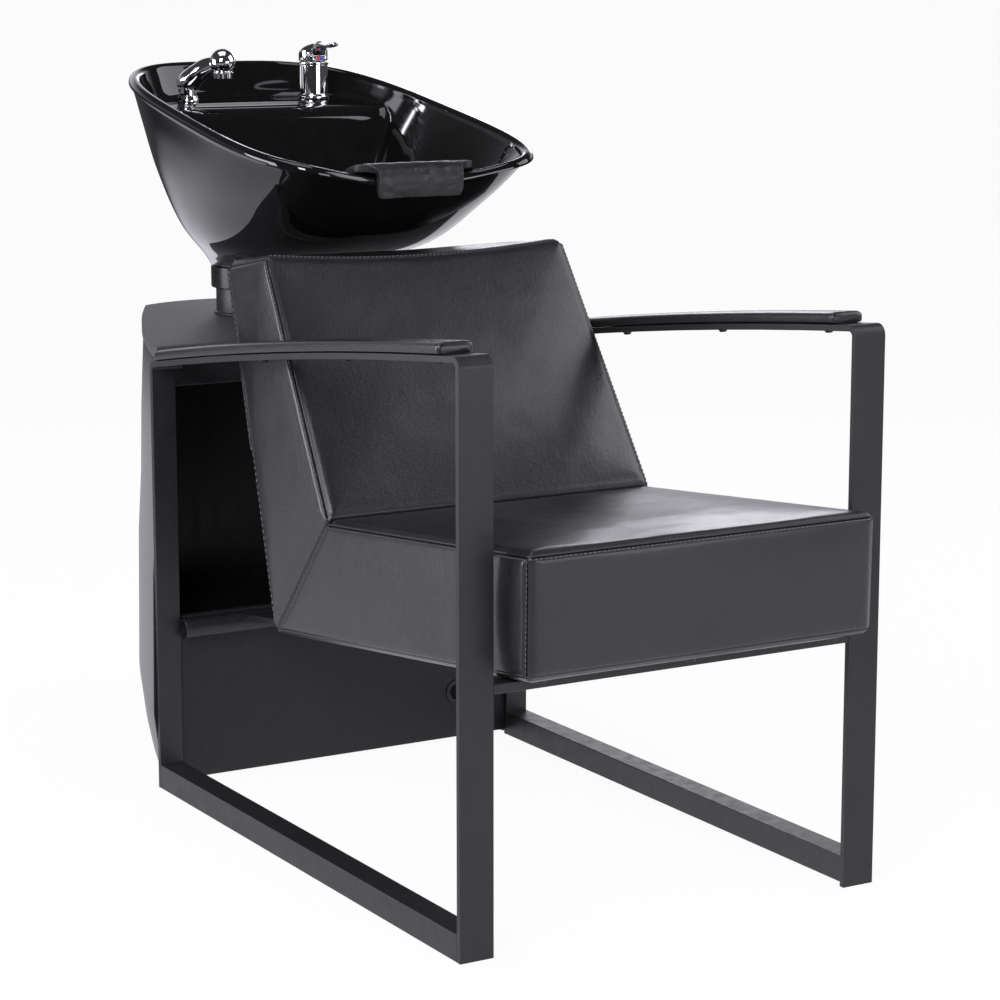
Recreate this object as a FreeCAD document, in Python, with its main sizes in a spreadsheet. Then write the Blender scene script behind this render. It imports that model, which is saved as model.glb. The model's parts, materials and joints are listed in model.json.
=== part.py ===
import FreeCAD, Part
import os
from math import cos, hypot, pi, radians, sin, sqrt

import Sketcher

# A salon backwash unit: a chair on two bent flat-bar side frames in front of a plinth,
# with a tilting ceramic shampoo basin on a short pedestal. Millimetres, +Z up, front to -Y.

Vector = FreeCAD.Vector
doc = FreeCAD.newDocument("BackwashUnit")
dims = doc.addObject("Spreadsheet::Sheet", "Dims")

SIZES = {
    # side frames
    "leg_front_y": -643, "frame_width": 594, "frame_depth": 845,
    "bar_width": 45, "rear_leg_width": 34, "bar_thickness": 8, "bend_radius": 14,
    "arm_front_height": 704, "arm_rear_height": 598, "arm_arch": 8,
    "rail_height": 34, "rail_wall": 2,
    "cross_rail_depth": 30, "cross_rail_height": 12, "cross_rail_wall": 2,
    "cross_tube_radius": 14, "cross_tube_wall": 2, "cross_tube_height": 225, "cross_tube_set_in": 17,
    "bearer_width": 40, "bearer_thickness": 8, "bearer_spacing": "=frame_width / 2 + bearer_offset",
    "bearer_offset": 3,
    # seat and backrest, side profile measured from the front legs and the floor
    "seat_half_width": "=frame_width / 2 - bar_width - seat_side_gap", "seat_side_gap": 6,
    "seat_overhang": 61, "seat_front_top": 490, "seat_front_bottom": 336,
    "crook_reach": 423, "crook_height": 446, "heel_reach": 583, "heel_height": 264,
    "back_top_reach": 629, "back_top_height": 762, "back_rear_reach": 744, "back_rear_height": 744,
    "back_top_half_width": "=seat_half_width - back_taper", "back_taper": 17, "cushion_crown": 8,
    "cushion_draw_in": 3, "cushion_roll": 10,
    "board_thickness": 12, "board_inset": 24, "seam_gap": 0.4,
    # arm pads and their screws
    "pad_thickness": 15, "pad_crown": 4, "pad_draw_in": 1.5, "pad_overhang": 1,
    "pad_front_gap": 45, "pad_rear_gap": 16, "pad_seat_gap": 0.3,
    "screw_radius": 3, "screw_head_radius": 6.5, "screw_head_height": 4, "screw_grip": 8,
    "screw_clearance": 0.8, "arm_screw_inset": 83, "arm_screw_pitch": 226,
    "seat_bolt_radius": 4, "seat_bolt_head_radius": 8, "seat_bolt_head_height": 5, "seat_bolt_pitch": 300,
    "edge_bolt_x": "=seat_half_width - edge_bolt_inset", "edge_bolt_inset": 41, "edge_bolt_front": -26,
    "edge_bolt_rear": 390,
    # plinth
    "plinth_half_width": "=frame_width / 2 - plinth_set_in", "plinth_set_in": 4,
    "plinth_rear_half_width": 106, "plinth_depth": 464, "plinth_side_bow": 12,
    "plinth_rear_bow": 29, "plinth_height": 618, "plinth_top_thickness": 20, "plinth_wall": 16,
    "plinth_toe_in": 20, "plinth_belly": 9, "plinth_toe_height": 105, "plinth_shoulder": 8, "top_lip": 2,
    "apron_height": 37, "panel_thickness": 12, "lower_panel_height": 240, "floor_gap": 6,
    "recess_depth": 190, "shelf_thickness": 14,
    "service_hole_radius": 15, "service_hole_x": "=plinth_half_width - service_hole_inset",
    "service_hole_inset": 111, "service_hole_height": 75,
    "grommet_wall": 3, "grommet_flange": 3, "grommet_lip": 2, "grommet_clearance": 0.2,
    "hatch_width": 150, "hatch_height": "=plinth_height - plinth_top_thickness - hatch_sill - hatch_head",
    "hatch_head": 118, "hatch_sill": 120, "hatch_gap": 0.4, "hatch_rim": 18, "hatch_screw_proud": 1.8,
    "room_gap": 0.3,
    # pedestal and tilt pivot
    "pedestal_reach": 1130, "column_radius": 57, "column_wall": 6, "column_height": 46,
    "flange_radius": 60, "flange_thickness": 4, "pivot_height": "=plinth_height + pivot_rise",
    "pivot_rise": 37, "pivot_pin_radius": 6,
    "lug_spacing": 60, "lug_thickness": 8, "lug_half_depth": 16, "lug_crown": 14, "pivot_clearance": 0.05,
    "boss_radius": 13, "lug_play": 0.5, "web_half_depth": 6, "tilt_plate_thickness": 6,
    "hose_hole_radius": 16,
    "hose_hole_offset": 30, "skirt_radius": 64, "skirt_wall": 3.5, "skirt_play": 0.3,
    "skirt_foot": "=plinth_height + skirt_rise", "skirt_rise": 40,
    # basin, plan stations from the front legs and heights from the floor
    "rim_front_reach": 572, "rim_rear_reach": 1244, "rim_front_height": "=plinth_height + rim_front_rise",
    "rim_front_rise": 248, "rim_rear_height": "=plinth_height + rim_rear_rise", "rim_rear_rise": 368,
    "rim_front_half": 229, "rim_rear_half": 206, "basin_wall": 13,
    "rim_squareness": 3.4, "neck_dent": 52, "neck_dent_flat": 80, "neck_dent_end": 165,
    "deck_height": "=plinth_height + deck_rise", "deck_rise": 314, "deck_edge_reach": 1066, "deck_wall_run": 70,
    "deck_thickness": 14, "stem_radius": 63, "stem_foot": "=plinth_height + stem_rise", "stem_rise": 72,
    "stem_bore": 50, "bowl_floor": "=plinth_height + bowl_rise", "bowl_rise": 150,
    "neck_height": "=plinth_height + neck_rise", "neck_rise": 235, "neck_half_width": 88,
    "neck_flare": 30,
    "drain_reach": 958, "drain_bore": 22, "drain_flange_radius": 33, "drain_flange_thickness": 3,
    "drain_wall": 3, "drain_tail": 34, "drain_nut_radius": 33, "drain_nut_height": 9,
    "drain_clearance": 0.3,
    "strainer_radius": 18.6, "strainer_depth": 12, "strainer_hole": 2.2, "strainer_ring": 11,
    "strainer_ledge": 5, "strainer_rim": 6,
    # neck rest
    "neck_rest_width": 170, "neck_rest_flap_width": 125, "neck_rest_thickness": 11.5, "neck_rest_flap": 30,
    "neck_rest_reach": 622, "neck_rest_top": 14, "neck_rest_rise": 7, "neck_rest_span": 33,
    "neck_rest_tail": 20,
    # taps
    "tap_half_spacing": 102, "mixer_radius": 21.5, "mixer_height": 50, "tap_shank_radius": 11,
    "tap_shank_length": 34, "tap_nut_radius": 20, "tap_nut_height": 8, "tap_clearance": 0.3,
    "mixer_ring_height": 4, "mixer_ring_step": 1.2, "spindle_radius": 9, "spindle_height": 12,
    "cap_height": 27, "cap_gap": 0.3, "lever_length": 70, "lever_width": 22, "lever_thickness": 7,
    "lever_rise": 12, "mark_radius": 4, "mark_thickness": 1.2,
    "spray_base_radius": 13.5, "spray_base_height": 9, "sleeve_radius": 12.5, "sleeve_wall": 3,
    "sleeve_height": 13, "spray_shank_radius": 10.4, "spray_shank_length": 12, "spray_fit": 0.1,
    "hose_radius": 8, "spray_rise": 36, "spray_reach": 62, "spray_foot_radius": 11.5,
    "spray_neck_radius": 10,
    "spray_head_radius": 19, "spray_bearing": 60, "nozzle_radius": 15, "nozzle_height": 9,
}
for row, alias in enumerate(SIZES, start=1):
    dims.set(f"A{row}", alias)
    dims.setAlias(f"B{row}", alias)
for row, value in enumerate(SIZES.values(), start=1):
    dims.set(f"B{row}", str(value))
doc.recompute()

nodes = {}


def size(alias):
    return float(dims.get(alias))


def value_of(expression):
    return float(dims.evalExpression(expression))


def keep(label, item):
    item.Label = label
    nodes[label] = item
    return item


def reach(alias):
    return f"(Dims.leg_front_y + Dims.{alias})"


def reach_value(distance):
    return size("leg_front_y") + distance


def bind(item, **expressions):
    for name, expression in expressions.items():
        item.setExpression(name.replace("__", "."), expression)


# Document primitives whose sizes and places follow the sheet
def box(name, low, high):
    item = doc.addObject("Part::Box", name)
    for prop, a, b in zip(("Length", "Width", "Height"), low, high):
        item.setExpression(prop, f"({b}) - ({a})")
    for axis, a in zip("xyz", low):
        item.setExpression(f"Placement.Base.{axis}", a)
    return item


def cylinder(name, radius, length, base, axis="Z"):
    item = doc.addObject("Part::Cylinder", name)
    item.setExpression("Radius", radius)
    item.setExpression("Height", length)
    turns = {"X": (Vector(0, 1, 0), 90), "Y": (Vector(1, 0, 0), -90), "Z": (Vector(0, 0, 1), 0)}
    item.Placement.Rotation = FreeCAD.Rotation(*turns[axis])
    for letter, expression in zip("xyz", base):
        item.setExpression(f"Placement.Base.{letter}", expression)
    return item


def cut(name, base, *tools):
    for number, tool in enumerate(tools):
        step = doc.addObject("Part::Cut", f"{name}_cut{number}")
        step.Base = base
        step.Tool = tool
        base = step
    return base


def fuse(name, *pieces):
    item = doc.addObject("Part::MultiFuse", name)
    item.Shapes = list(pieces)
    return item


# Sketched bodies
def plane_of(body, role):
    return next(item for item in body.Origin.OriginFeatures if item.Role == role)


def sketch_on(body, name, role, offset="0"):
    sketch = body.newObject("Sketcher::SketchObject", name)
    sketch.AttachmentSupport = [(plane_of(body, role), "")]
    sketch.MapMode = "FlatFace"
    sketch.setExpression("AttachmentOffset.Base.z", offset)
    return sketch


def fix_point(sketch, geometry, end, across, up):
    for kind, expression in (("DistanceX", across), ("DistanceY", up)):
        index = sketch.addConstraint(
            Sketcher.Constraint(kind, -1, 1, geometry, end, value_of(expression)))
        sketch.setExpression(f"Constraints[{index}]", expression)


def outline(sketch, corners, arcs=None):
    """Closed outline; arcs maps an edge number to the radius of an upward bulge."""
    arcs = arcs or {}
    points = [Vector(value_of(across), value_of(up), 0) for across, up in corners]
    count = len(points)
    ends = []
    for index, start in enumerate(points):
        finish = points[(index + 1) % count]
        if index in arcs:
            radius = value_of(arcs[index])
            chord = finish - start
            rise = radius - sqrt(radius ** 2 - (chord.Length / 2) ** 2)
            across = Vector(-chord.y, chord.x, 0).normalize()
            middle = (start + finish) / 2 + across * (rise if across.y > 0 else -rise)
            edge = sketch.addGeometry(Part.Arc(start, middle, finish), False)
        else:
            edge = sketch.addGeometry(Part.LineSegment(start, finish), False)
        swapped = (sketch.getPoint(edge, 1) - start).Length > (sketch.getPoint(edge, 2) - start).Length
        ends.append((2, 1) if swapped else (1, 2))
    for index in range(count):
        following = (index + 1) % count
        sketch.addConstraint(
            Sketcher.Constraint("Coincident", index, ends[index][1], following, ends[following][0]))
        fix_point(sketch, index, ends[index][0], *corners[index])
    for index, expression in arcs.items():
        number = sketch.addConstraint(Sketcher.Constraint("Radius", index, value_of(expression)))
        sketch.setExpression(f"Constraints[{number}]", expression)


def circle(sketch, across, up, radius):
    centre = Vector(value_of(across), value_of(up), 0)
    edge = sketch.addGeometry(Part.Circle(centre, Vector(0, 0, 1), value_of(radius)), False)
    fix_point(sketch, edge, 3, across, up)
    number = sketch.addConstraint(Sketcher.Constraint("Radius", edge, value_of(radius)))
    sketch.setExpression(f"Constraints[{number}]", radius)


def pad(body, sketch, length):
    feature = body.newObject("PartDesign::Pad", sketch.Name + "_pad")
    feature.Profile = sketch
    feature.setExpression("Length", length)
    return feature


def pocket(body, sketch, length, flip=False):
    before = body.Shape.Volume
    feature = body.newObject("PartDesign::Pocket", sketch.Name + "_pocket")
    feature.Profile = sketch
    feature.Reversed = flip
    feature.setExpression("Length", length)
    doc.recompute()
    if body.Shape.Volume >= before:
        raise ValueError(f"{feature.Name} removes nothing")
    return feature


def revolved(label, corners, across="0", along="0"):
    """A turned piece: its half section as radius and height corners, on a vertical axis."""
    body = doc.addObject("PartDesign::Body", label + "_body")
    sketch = sketch_on(body, label + "_section", "XZ_Plane")
    outline(sketch, corners)
    feature = body.newObject("PartDesign::Revolution", label + "_turned")
    feature.Profile = sketch
    feature.ReferenceAxis = (sketch, ["V_Axis"])
    feature.Angle = 360
    bind(body, Placement__Base__x=across, Placement__Base__y=along)
    return keep(label, body)


def edges_at(shape, spots, slack=0.5):
    """Names of the edges along X whose side view place is one of the spots."""
    names = []
    for number, edge in enumerate(shape.Edges, start=1):
        ends = [vertex.Point for vertex in edge.Vertexes]
        if len(ends) < 2 or abs(ends[0].x - ends[1].x) < slack:
            continue
        if any(all(hypot(end.y - y, end.z - z) < slack for end in ends) for y, z in spots):
            names.append(f"Edge{number}")
    return names


def solid_feature(label, shape):
    item = doc.addObject("Part::Feature", label + "_solid")
    item.Shape = shape
    return keep(label, item)


def loft(wires, ruled=True):
    return Part.makeLoft(wires, True, ruled)


# Side view lines shared by the frames and the pads
FRONT = "Dims.leg_front_y"
REAR = reach("frame_depth")
INNER_X = "(Dims.frame_width / 2 - Dims.bar_width)"
ARM_DROP = "(Dims.arm_front_height - Dims.arm_rear_height)"
ARM_CHORD = f"sqrt(Dims.frame_depth ^ 2 + {ARM_DROP} ^ 2)"
ARM_RADIUS = f"({ARM_CHORD} ^ 2 / 4 + Dims.arm_arch ^ 2) / (2 * Dims.arm_arch)"
ARM_FALL = f"({ARM_RADIUS} - Dims.arm_arch)"
ARM_CENTRE_Y = f"({FRONT} + Dims.frame_depth / 2 - {ARM_FALL} * {ARM_DROP} / {ARM_CHORD})"
ARM_CENTRE_Z = (f"((Dims.arm_front_height + Dims.arm_rear_height) / 2"
                f" - {ARM_FALL} * Dims.frame_depth / {ARM_CHORD})")


def arm_height(y, below=0.0):
    """Height of the arm bar's top face at a place along the arm, or of a line below it."""
    radius = value_of(ARM_RADIUS) - below
    return value_of(ARM_CENTRE_Z) + sqrt(radius ** 2 - (y - value_of(ARM_CENTRE_Y)) ** 2)


def arm_screw_places():
    front = reach_value(size("arm_screw_inset"))
    return [front + number * size("arm_screw_pitch") for number in range(3)]


ARM_SCREW_Y = [f"({FRONT} + Dims.arm_screw_inset + {number} * Dims.arm_screw_pitch)" for number in range(3)]


def make_arm_loop(side, low_x, mid_x):
    """A flat bar bent into front leg, arched arm and rear leg."""
    label = f"{side}_arm_loop"
    body = doc.addObject("PartDesign::Body", label + "_body")
    sketch = sketch_on(body, label + "_profile", "YZ_Plane", low_x)
    front_in = f"({FRONT} + Dims.bar_thickness)"
    rear_in = f"({REAR} - Dims.bar_thickness)"
    inner_radius = f"({ARM_RADIUS} - Dims.bar_thickness)"

    def under_arm(y):
        return f"({ARM_CENTRE_Z} + sqrt({inner_radius} ^ 2 - ({y} - {ARM_CENTRE_Y}) ^ 2))"

    outline(sketch, [
        (FRONT, "0"), (FRONT, "Dims.arm_front_height"), (REAR, "Dims.arm_rear_height"), (REAR, "0"),
        (rear_in, "0"), (rear_in, under_arm(rear_in)), (front_in, under_arm(front_in)), (front_in, "0"),
    ], {1: ARM_RADIUS, 5: inner_radius})
    pad(body, sketch, "Dims.bar_width")
    doc.recompute()
    outer = [(value_of(FRONT), size("arm_front_height")), (value_of(REAR), size("arm_rear_height"))]
    inner = [(value_of(y), value_of(under_arm(y))) for y in (front_in, rear_in)]
    for name, spots, radius in (("outer_bend", outer, "Dims.bend_radius"),
                                ("inner_bend", inner, "Dims.bend_radius - Dims.bar_thickness")):
        base = body.Tip
        bend = body.newObject("PartDesign::Fillet", f"{label}_{name}")
        bend.Base = (base, edges_at(body.Shape, spots))
        bend.setExpression("Radius", radius)
        doc.recompute()
    highest = "(max(Dims.arm_front_height; Dims.arm_rear_height) + Dims.arm_arch)"
    drill = sketch_on(body, label + "_screw_holes", "XY_Plane", highest)
    for y in ARM_SCREW_Y:
        circle(drill, mid_x, y, "Dims.screw_radius + Dims.screw_clearance")
    pocket(body, drill, f"abs({ARM_DROP}) + 2 * Dims.arm_arch + 2 * Dims.bar_thickness")
    rebate = sketch_on(body, label + "_rear_rebate", "XZ_Plane", f"-{REAR}")
    inner, outer = (f"({mid_x} {sign} Dims.bar_width / 2)" for sign in ("+-" if side == "left" else "-+"))
    edge = f"({outer} {'+' if side == 'left' else '-'} Dims.rear_leg_width)"
    head = "(Dims.arm_rear_height - 2 * Dims.bend_radius)"
    outline(rebate, [(inner, "0"), (inner, head), (edge, head), (edge, "0")])
    pocket(body, rebate, "Dims.bar_thickness", flip=True)
    return keep(label, body)


def make_bottom_rail(side, low_x):
    """Square tube on the floor, welded between the legs of one side frame."""
    if side == "right":
        low_x = f"({low_x} + Dims.bar_width - Dims.rear_leg_width)"
    high_x = f"({low_x} + Dims.rear_leg_width)"
    low_y = f"({FRONT} + Dims.bar_thickness)"
    high_y = f"({REAR} - Dims.bar_thickness)"
    outer = box(f"{side}_rail_outer", (low_x, low_y, "0"), (high_x, high_y, "Dims.rail_height"))
    inner = box(f"{side}_rail_inner",
                (f"{low_x} + Dims.rail_wall", low_y, "Dims.rail_wall"),
                (f"{high_x} - Dims.rail_wall", high_y, "Dims.rail_height - Dims.rail_wall"))
    keep(f"{side}_bottom_rail", cut(f"{side}_rail", outer, inner))


SIDES = {
    "left": ("(-Dims.frame_width / 2)", "(-Dims.frame_width / 2 + Dims.bar_width / 2)"),
    "right": (INNER_X, "(Dims.frame_width / 2 - Dims.bar_width / 2)"),
}
for side, (low_x, mid_x) in SIDES.items():
    make_arm_loop(side, low_x, mid_x)
    make_bottom_rail(side, low_x)

# Cross members between the side frames
UNDER_SLOPE = ("((Dims.seat_front_bottom - Dims.heel_height)"
               " / (Dims.heel_reach + Dims.seat_overhang))")


def under_seat(y):
    """Height of the seat's underside at a place given as an expression."""
    return f"(Dims.seat_front_bottom - ({y} - {FRONT} + Dims.seat_overhang) * {UNDER_SLOPE})"


rail_rear = f"({FRONT} + Dims.cross_rail_depth)"
rail_top = f"({under_seat(rail_rear)} - Dims.seam_gap)"
rail_foot = f"({rail_top} - Dims.cross_rail_height)"
rail_outer = box("front_rail_outer", (f"-{INNER_X}", FRONT, rail_foot), (INNER_X, rail_rear, rail_top))
rail_inner = box("front_rail_inner",
                 (f"-{INNER_X}", f"{FRONT} + Dims.cross_rail_wall", f"{rail_foot} + Dims.cross_rail_wall"),
                 (INNER_X, f"{rail_rear} - Dims.cross_rail_wall", f"{rail_top} - Dims.cross_rail_wall"))
keep("front_cross_rail", cut("front_rail", rail_outer, rail_inner))

tube_y = f"({REAR} - Dims.cross_tube_set_in)"
tube_half = "(Dims.frame_width / 2 - Dims.rear_leg_width)"
tube_place = (f"-{tube_half}", tube_y, "Dims.cross_tube_height")
tube_outer = cylinder("rear_tube_outer", "Dims.cross_tube_radius", f"2 * {tube_half}", tube_place, "X")
tube_inner = cylinder("rear_tube_inner", "Dims.cross_tube_radius - Dims.cross_tube_wall",
                      f"2 * {tube_half}", tube_place, "X")
keep("rear_cross_tube", cut("rear_tube", tube_outer, tube_inner))

SEAT_BOLT_Y = [
    f"({FRONT} + Dims.heel_reach / 2 - Dims.seat_bolt_pitch / 2)",
    f"({FRONT} + Dims.heel_reach / 2 + Dims.seat_bolt_pitch / 2)",
]


def make_bearer(side, sign):
    """Flat bar under the seat, from the front cross rail to the rear cross tube."""
    label = f"{side}_seat_bearer"
    body = doc.addObject("PartDesign::Body", label + "_body")
    middle = f"({sign} * Dims.bearer_spacing / 2)"
    sketch = sketch_on(body, label + "_profile", "YZ_Plane", f"{middle} - Dims.bearer_width / 2")
    top_front = under_seat(rail_rear)
    top_rear = under_seat(tube_y)
    outline(sketch, [
        (rail_rear, f"{top_front} - Dims.bearer_thickness"), (tube_y, f"{top_rear} - Dims.bearer_thickness"),
        (tube_y, top_rear), (rail_rear, top_front),
    ])
    pad(body, sketch, "Dims.bearer_width")
    doc.recompute()
    notch = sketch_on(body, label + "_tube_notch", "YZ_Plane", f"{middle} - Dims.bearer_width")
    circle(notch, tube_y, "Dims.cross_tube_height", "Dims.cross_tube_radius")
    pocket(body, notch, "2 * Dims.bearer_width", flip=True)
    drill = sketch_on(body, label + "_bolt_holes", "XY_Plane", "Dims.seat_front_bottom")
    for y in SEAT_BOLT_Y:
        circle(drill, middle, y, "Dims.seat_bolt_radius + Dims.screw_clearance")
    pocket(body, drill, "Dims.seat_front_bottom - Dims.cross_tube_height")
    keep(label, body)


for side, sign in (("left", -1), ("right", 1)):
    make_bearer(side, sign)


# Upholstered seat and backrest: sections run from the front of the seat to the mitre, and from there up
def cushion_section(low, high, half, crown, draw):
    """Closed section between two side view points: flat below, drawn in at the sides, crowned above."""
    up = (high - low).normalize()
    left_low = low + Vector(-half, 0, 0)
    right_low = low + Vector(half, 0, 0)
    left_high = high + Vector(-half, 0, 0)
    right_high = high + Vector(half, 0, 0)
    inward = Vector(draw, 0, 0)
    edges = [
        Part.makeLine(left_low, right_low),
        Part.Arc(right_low, (right_low + right_high) / 2 - inward, right_high).toShape(),
        Part.Arc(right_high, high + up * crown, left_high).toShape(),
        Part.Arc(left_high, (left_low + left_high) / 2 + inward, left_low).toShape(),
    ]
    return Part.Wire(edges)


def side_point(distance, height):
    return Vector(0, reach_value(size(distance) if isinstance(distance, str) else distance), size(height))


seat_front_low = side_point(-size("seat_overhang"), "seat_front_bottom")
seat_front_high = side_point(-size("seat_overhang"), "seat_front_top")
crook = side_point("crook_reach", "crook_height")
heel = side_point("heel_reach", "heel_height")
back_front_top = side_point("back_top_reach", "back_top_height")
back_rear_top = side_point("back_rear_reach", "back_rear_height")


def between(a, b, share):
    return a + (b - a) * share


def upholstered(low_start, low_end, high_start, high_end, rolled_start, rolled_half):
    """Loft between two side view lines; one end has a rolled edge and the other is the mitre."""
    roll = size("cushion_roll")
    mitre_half = size("seat_half_width")
    length = (high_end - high_start).Length
    shares = (0.0, roll / length, 0.3, 0.65, 0.92, 1.0)
    insets = (roll * 0.6, 0.0, 0.0, 0.0, 0.0, 0.0)
    crowns = (0.25, 0.5, 1.0, 1.0, 0.5, 0.25)
    wires = []
    for share, inset, crown in zip(shares, insets, crowns):
        place = share if rolled_start else 1 - share
        low = between(low_start, low_end, place)
        high = between(high_start, high_end, place)
        up = (high - low).normalize()
        half = rolled_half + (mitre_half - rolled_half) * share
        wires.append(cushion_section(low + up * inset * 0.4, high - up * inset, half - inset,
                                     size("cushion_crown") * crown, size("cushion_draw_in")))
    return loft(wires)


def board(start, end, start_half, end_half, outward):
    """Plywood panel let into a cushion's flat side, along a side view line."""
    along = (end - start).normalize()
    first = start + along * inset
    last = end - along * inset
    near = Vector(start_half - inset, 0, 0)
    far = Vector(end_half - inset, 0, 0)
    corners = [first - near, first + near, last + far, last - far]
    face = Part.Face(Part.makePolygon(corners + corners[:1]))
    return face.extrude(outward * -thickness)


def outward_of(start, end):
    along = (end - start).normalize()
    return Vector(0, along.z, -along.y)


under_out = outward_of(seat_front_low, heel)
rear_out = outward_of(heel, back_rear_top)
inset = size("board_inset")
thickness = size("board_thickness")
heel_half = size("seat_half_width")
seat_board = board(seat_front_low, heel, heel_half, heel_half, under_out)
back_board = board(heel, back_rear_top, heel_half, size("back_top_half_width"), rear_out)

bolt_grip = size("bearer_thickness") + size("board_thickness")


def seat_bolt_spots():
    for sign in (-1, 1):
        for expression in SEAT_BOLT_Y:
            y = value_of(expression)
            yield Vector(sign * size("bearer_spacing") / 2, y, value_of(under_seat(str(y))))


def edge_bolt_spots():
    edge = size("edge_bolt_x")
    front = reach_value(size("edge_bolt_front"))
    rear = reach_value(size("edge_bolt_rear"))
    for x, y in ((-edge, front), (0.0, front), (edge, front), (-edge, rear), (edge, rear)):
        yield Vector(x, y, value_of(under_seat(str(y))))


def bolts(spots, radius, grip_below, grip_above, axis):
    pieces = []
    for spot in spots:
        start = spot - axis * grip_below
        pieces.append(Part.makeCylinder(radius, grip_below + grip_above, start, axis))
    return pieces


bolt_axis = under_out * -1
bolt_radius = size("seat_bolt_radius")
hole_tools = bolts([*seat_bolt_spots(), *edge_bolt_spots()], bolt_radius, size("bearer_thickness"),
                   size("board_thickness"), bolt_axis)
solid_feature("seat_board", seat_board.cut(hole_tools))
solid_feature("back_board", back_board)

seam = size("seam_gap")
mitre = (heel - crook).normalize()
mitre_out = Vector(0, -mitre.z, mitre.y)
seat_shape = upholstered(seat_front_low, heel, seat_front_high, crook, True, size("seat_half_width"))
back_shape = upholstered(heel, back_rear_top, crook, back_front_top, False, size("back_top_half_width"))
back_shape.translate(mitre_out * seam)
solid_feature("seat_cushion", seat_shape.cut(seat_board))
solid_feature("backrest", back_shape.cut(back_board))


def button_screw(head_radius, head_height, radius, grip):
    """Button-headed screw along +Z, its head below the origin."""
    head = Part.makeCone(head_radius * 0.6, head_radius, head_height, Vector(0, 0, -head_height))
    return head.fuse(Part.makeCylinder(radius, grip)).removeSplitter()


def placed(shape, spot, axis):
    copy = shape.copy()
    copy.Placement = FreeCAD.Placement(spot, FreeCAD.Rotation(Vector(0, 0, 1), axis))
    return copy


bearer_depth = size("bearer_thickness")
bolt = button_screw(size("seat_bolt_head_radius"), size("seat_bolt_head_height"), bolt_radius, bolt_grip)
edge_bolt = button_screw(size("seat_bolt_head_radius"), size("seat_bolt_head_height"), bolt_radius,
                         size("board_thickness"))
solid_feature("seat_bolts", Part.makeCompound(
    [placed(bolt, spot - bolt_axis * bearer_depth, bolt_axis) for spot in seat_bolt_spots()]
    + [placed(edge_bolt, spot, bolt_axis) for spot in edge_bolt_spots()]))


# Arm pads, crowned, along the arched arm bars
def pad_section(x, y, half, thick, crown, draw):
    low = arm_height(y) + size("pad_seat_gap")
    corners = [Vector(x - half, y, low), Vector(x + half, y, low),
               Vector(x + half, y, low + thick), Vector(x - half, y, low + thick)]
    edges = [
        Part.makeLine(corners[0], corners[1]),
        Part.Arc(corners[1], (corners[1] + corners[2]) / 2 + Vector(-draw, 0, 0), corners[2]).toShape(),
        Part.Arc(corners[2], Vector(x, y, low + thick + crown), corners[3]).toShape(),
        Part.Arc(corners[3], (corners[0] + corners[3]) / 2 + Vector(draw, 0, 0), corners[0]).toShape(),
    ]
    return Part.Wire(edges)


def arm_pad(x):
    start = reach_value(size("pad_front_gap"))
    finish = reach_value(size("frame_depth") - size("pad_rear_gap"))
    half = size("bar_width") / 2 + size("pad_overhang")
    thick = size("pad_thickness") - size("pad_crown")
    shares = (0.0, 0.012, 0.15, 0.3, 0.45, 0.6, 0.75, 0.9, 0.985, 1.0)
    fullness = (0.72, 0.95, 1.0, 1.0, 1.0, 1.0, 1.0, 1.0, 0.95, 0.72)
    wires = [pad_section(x, start + (finish - start) * share, half - (1 - full) * size("cushion_roll"),
                         thick * full, size("pad_crown") * full, size("pad_draw_in"))
             for share, full in zip(shares, fullness)]
    return loft(wires)


arm_screw = button_screw(size("screw_head_radius"), size("screw_head_height"), size("screw_radius"),
                       size("bar_thickness") + size("screw_grip"))
arm_screws = []
for side, (low_x, mid_x) in SIDES.items():
    x = value_of(mid_x)
    centre = Vector(x, value_of(ARM_CENTRE_Y), value_of(ARM_CENTRE_Z))
    spots = [Vector(x, y, arm_height(y, size("bar_thickness"))) for y in arm_screw_places()]
    screws = [placed(arm_screw, spot, spot - centre) for spot in spots]
    shanks = [Part.makeCylinder(size("screw_radius"), size("bar_thickness") + size("screw_grip"), spot, spot - centre)
              for spot in spots]
    solid_feature(f"{side}_arm_pad", arm_pad(x).cut(shanks))
    arm_screws += screws
solid_feature("arm_screws", Part.makeCompound(arm_screws))


# Plinth: a wrap-round shell that toes in at the floor, with a shelf top and an open recess in front
def plinth_plan(z, inset, front_extra=0.0, wall=0.0):
    """Plan outline of the plinth: straight front, bowed sides and a bowed rear."""
    front = reach_value(size("frame_depth")) - front_extra
    rear = reach_value(size("frame_depth") + size("plinth_depth")) - inset - wall
    half = size("plinth_half_width") - inset - wall
    rear_half = size("plinth_rear_half_width") - (inset + wall) * 0.7
    middle_y = (front + front_extra + rear) / 2
    slope = (half - rear_half) / (rear - front - front_extra)
    start_half = half + slope * front_extra
    middle_half = (half + rear_half) / 2 + size("plinth_side_bow")
    tail = rear + size("plinth_rear_bow")
    edges = [
        Part.makeLine(Vector(-start_half, front, z), Vector(start_half, front, z)),
        Part.Arc(Vector(start_half, front, z), Vector(middle_half, middle_y, z),
                 Vector(rear_half, rear, z)).toShape(),
        Part.Arc(Vector(rear_half, rear, z), Vector(0, tail, z), Vector(-rear_half, rear, z)).toShape(),
        Part.Arc(Vector(-rear_half, rear, z), Vector(-middle_half, middle_y, z),
                 Vector(-start_half, front, z)).toShape(),
    ]
    return Part.Wire(edges)


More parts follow.
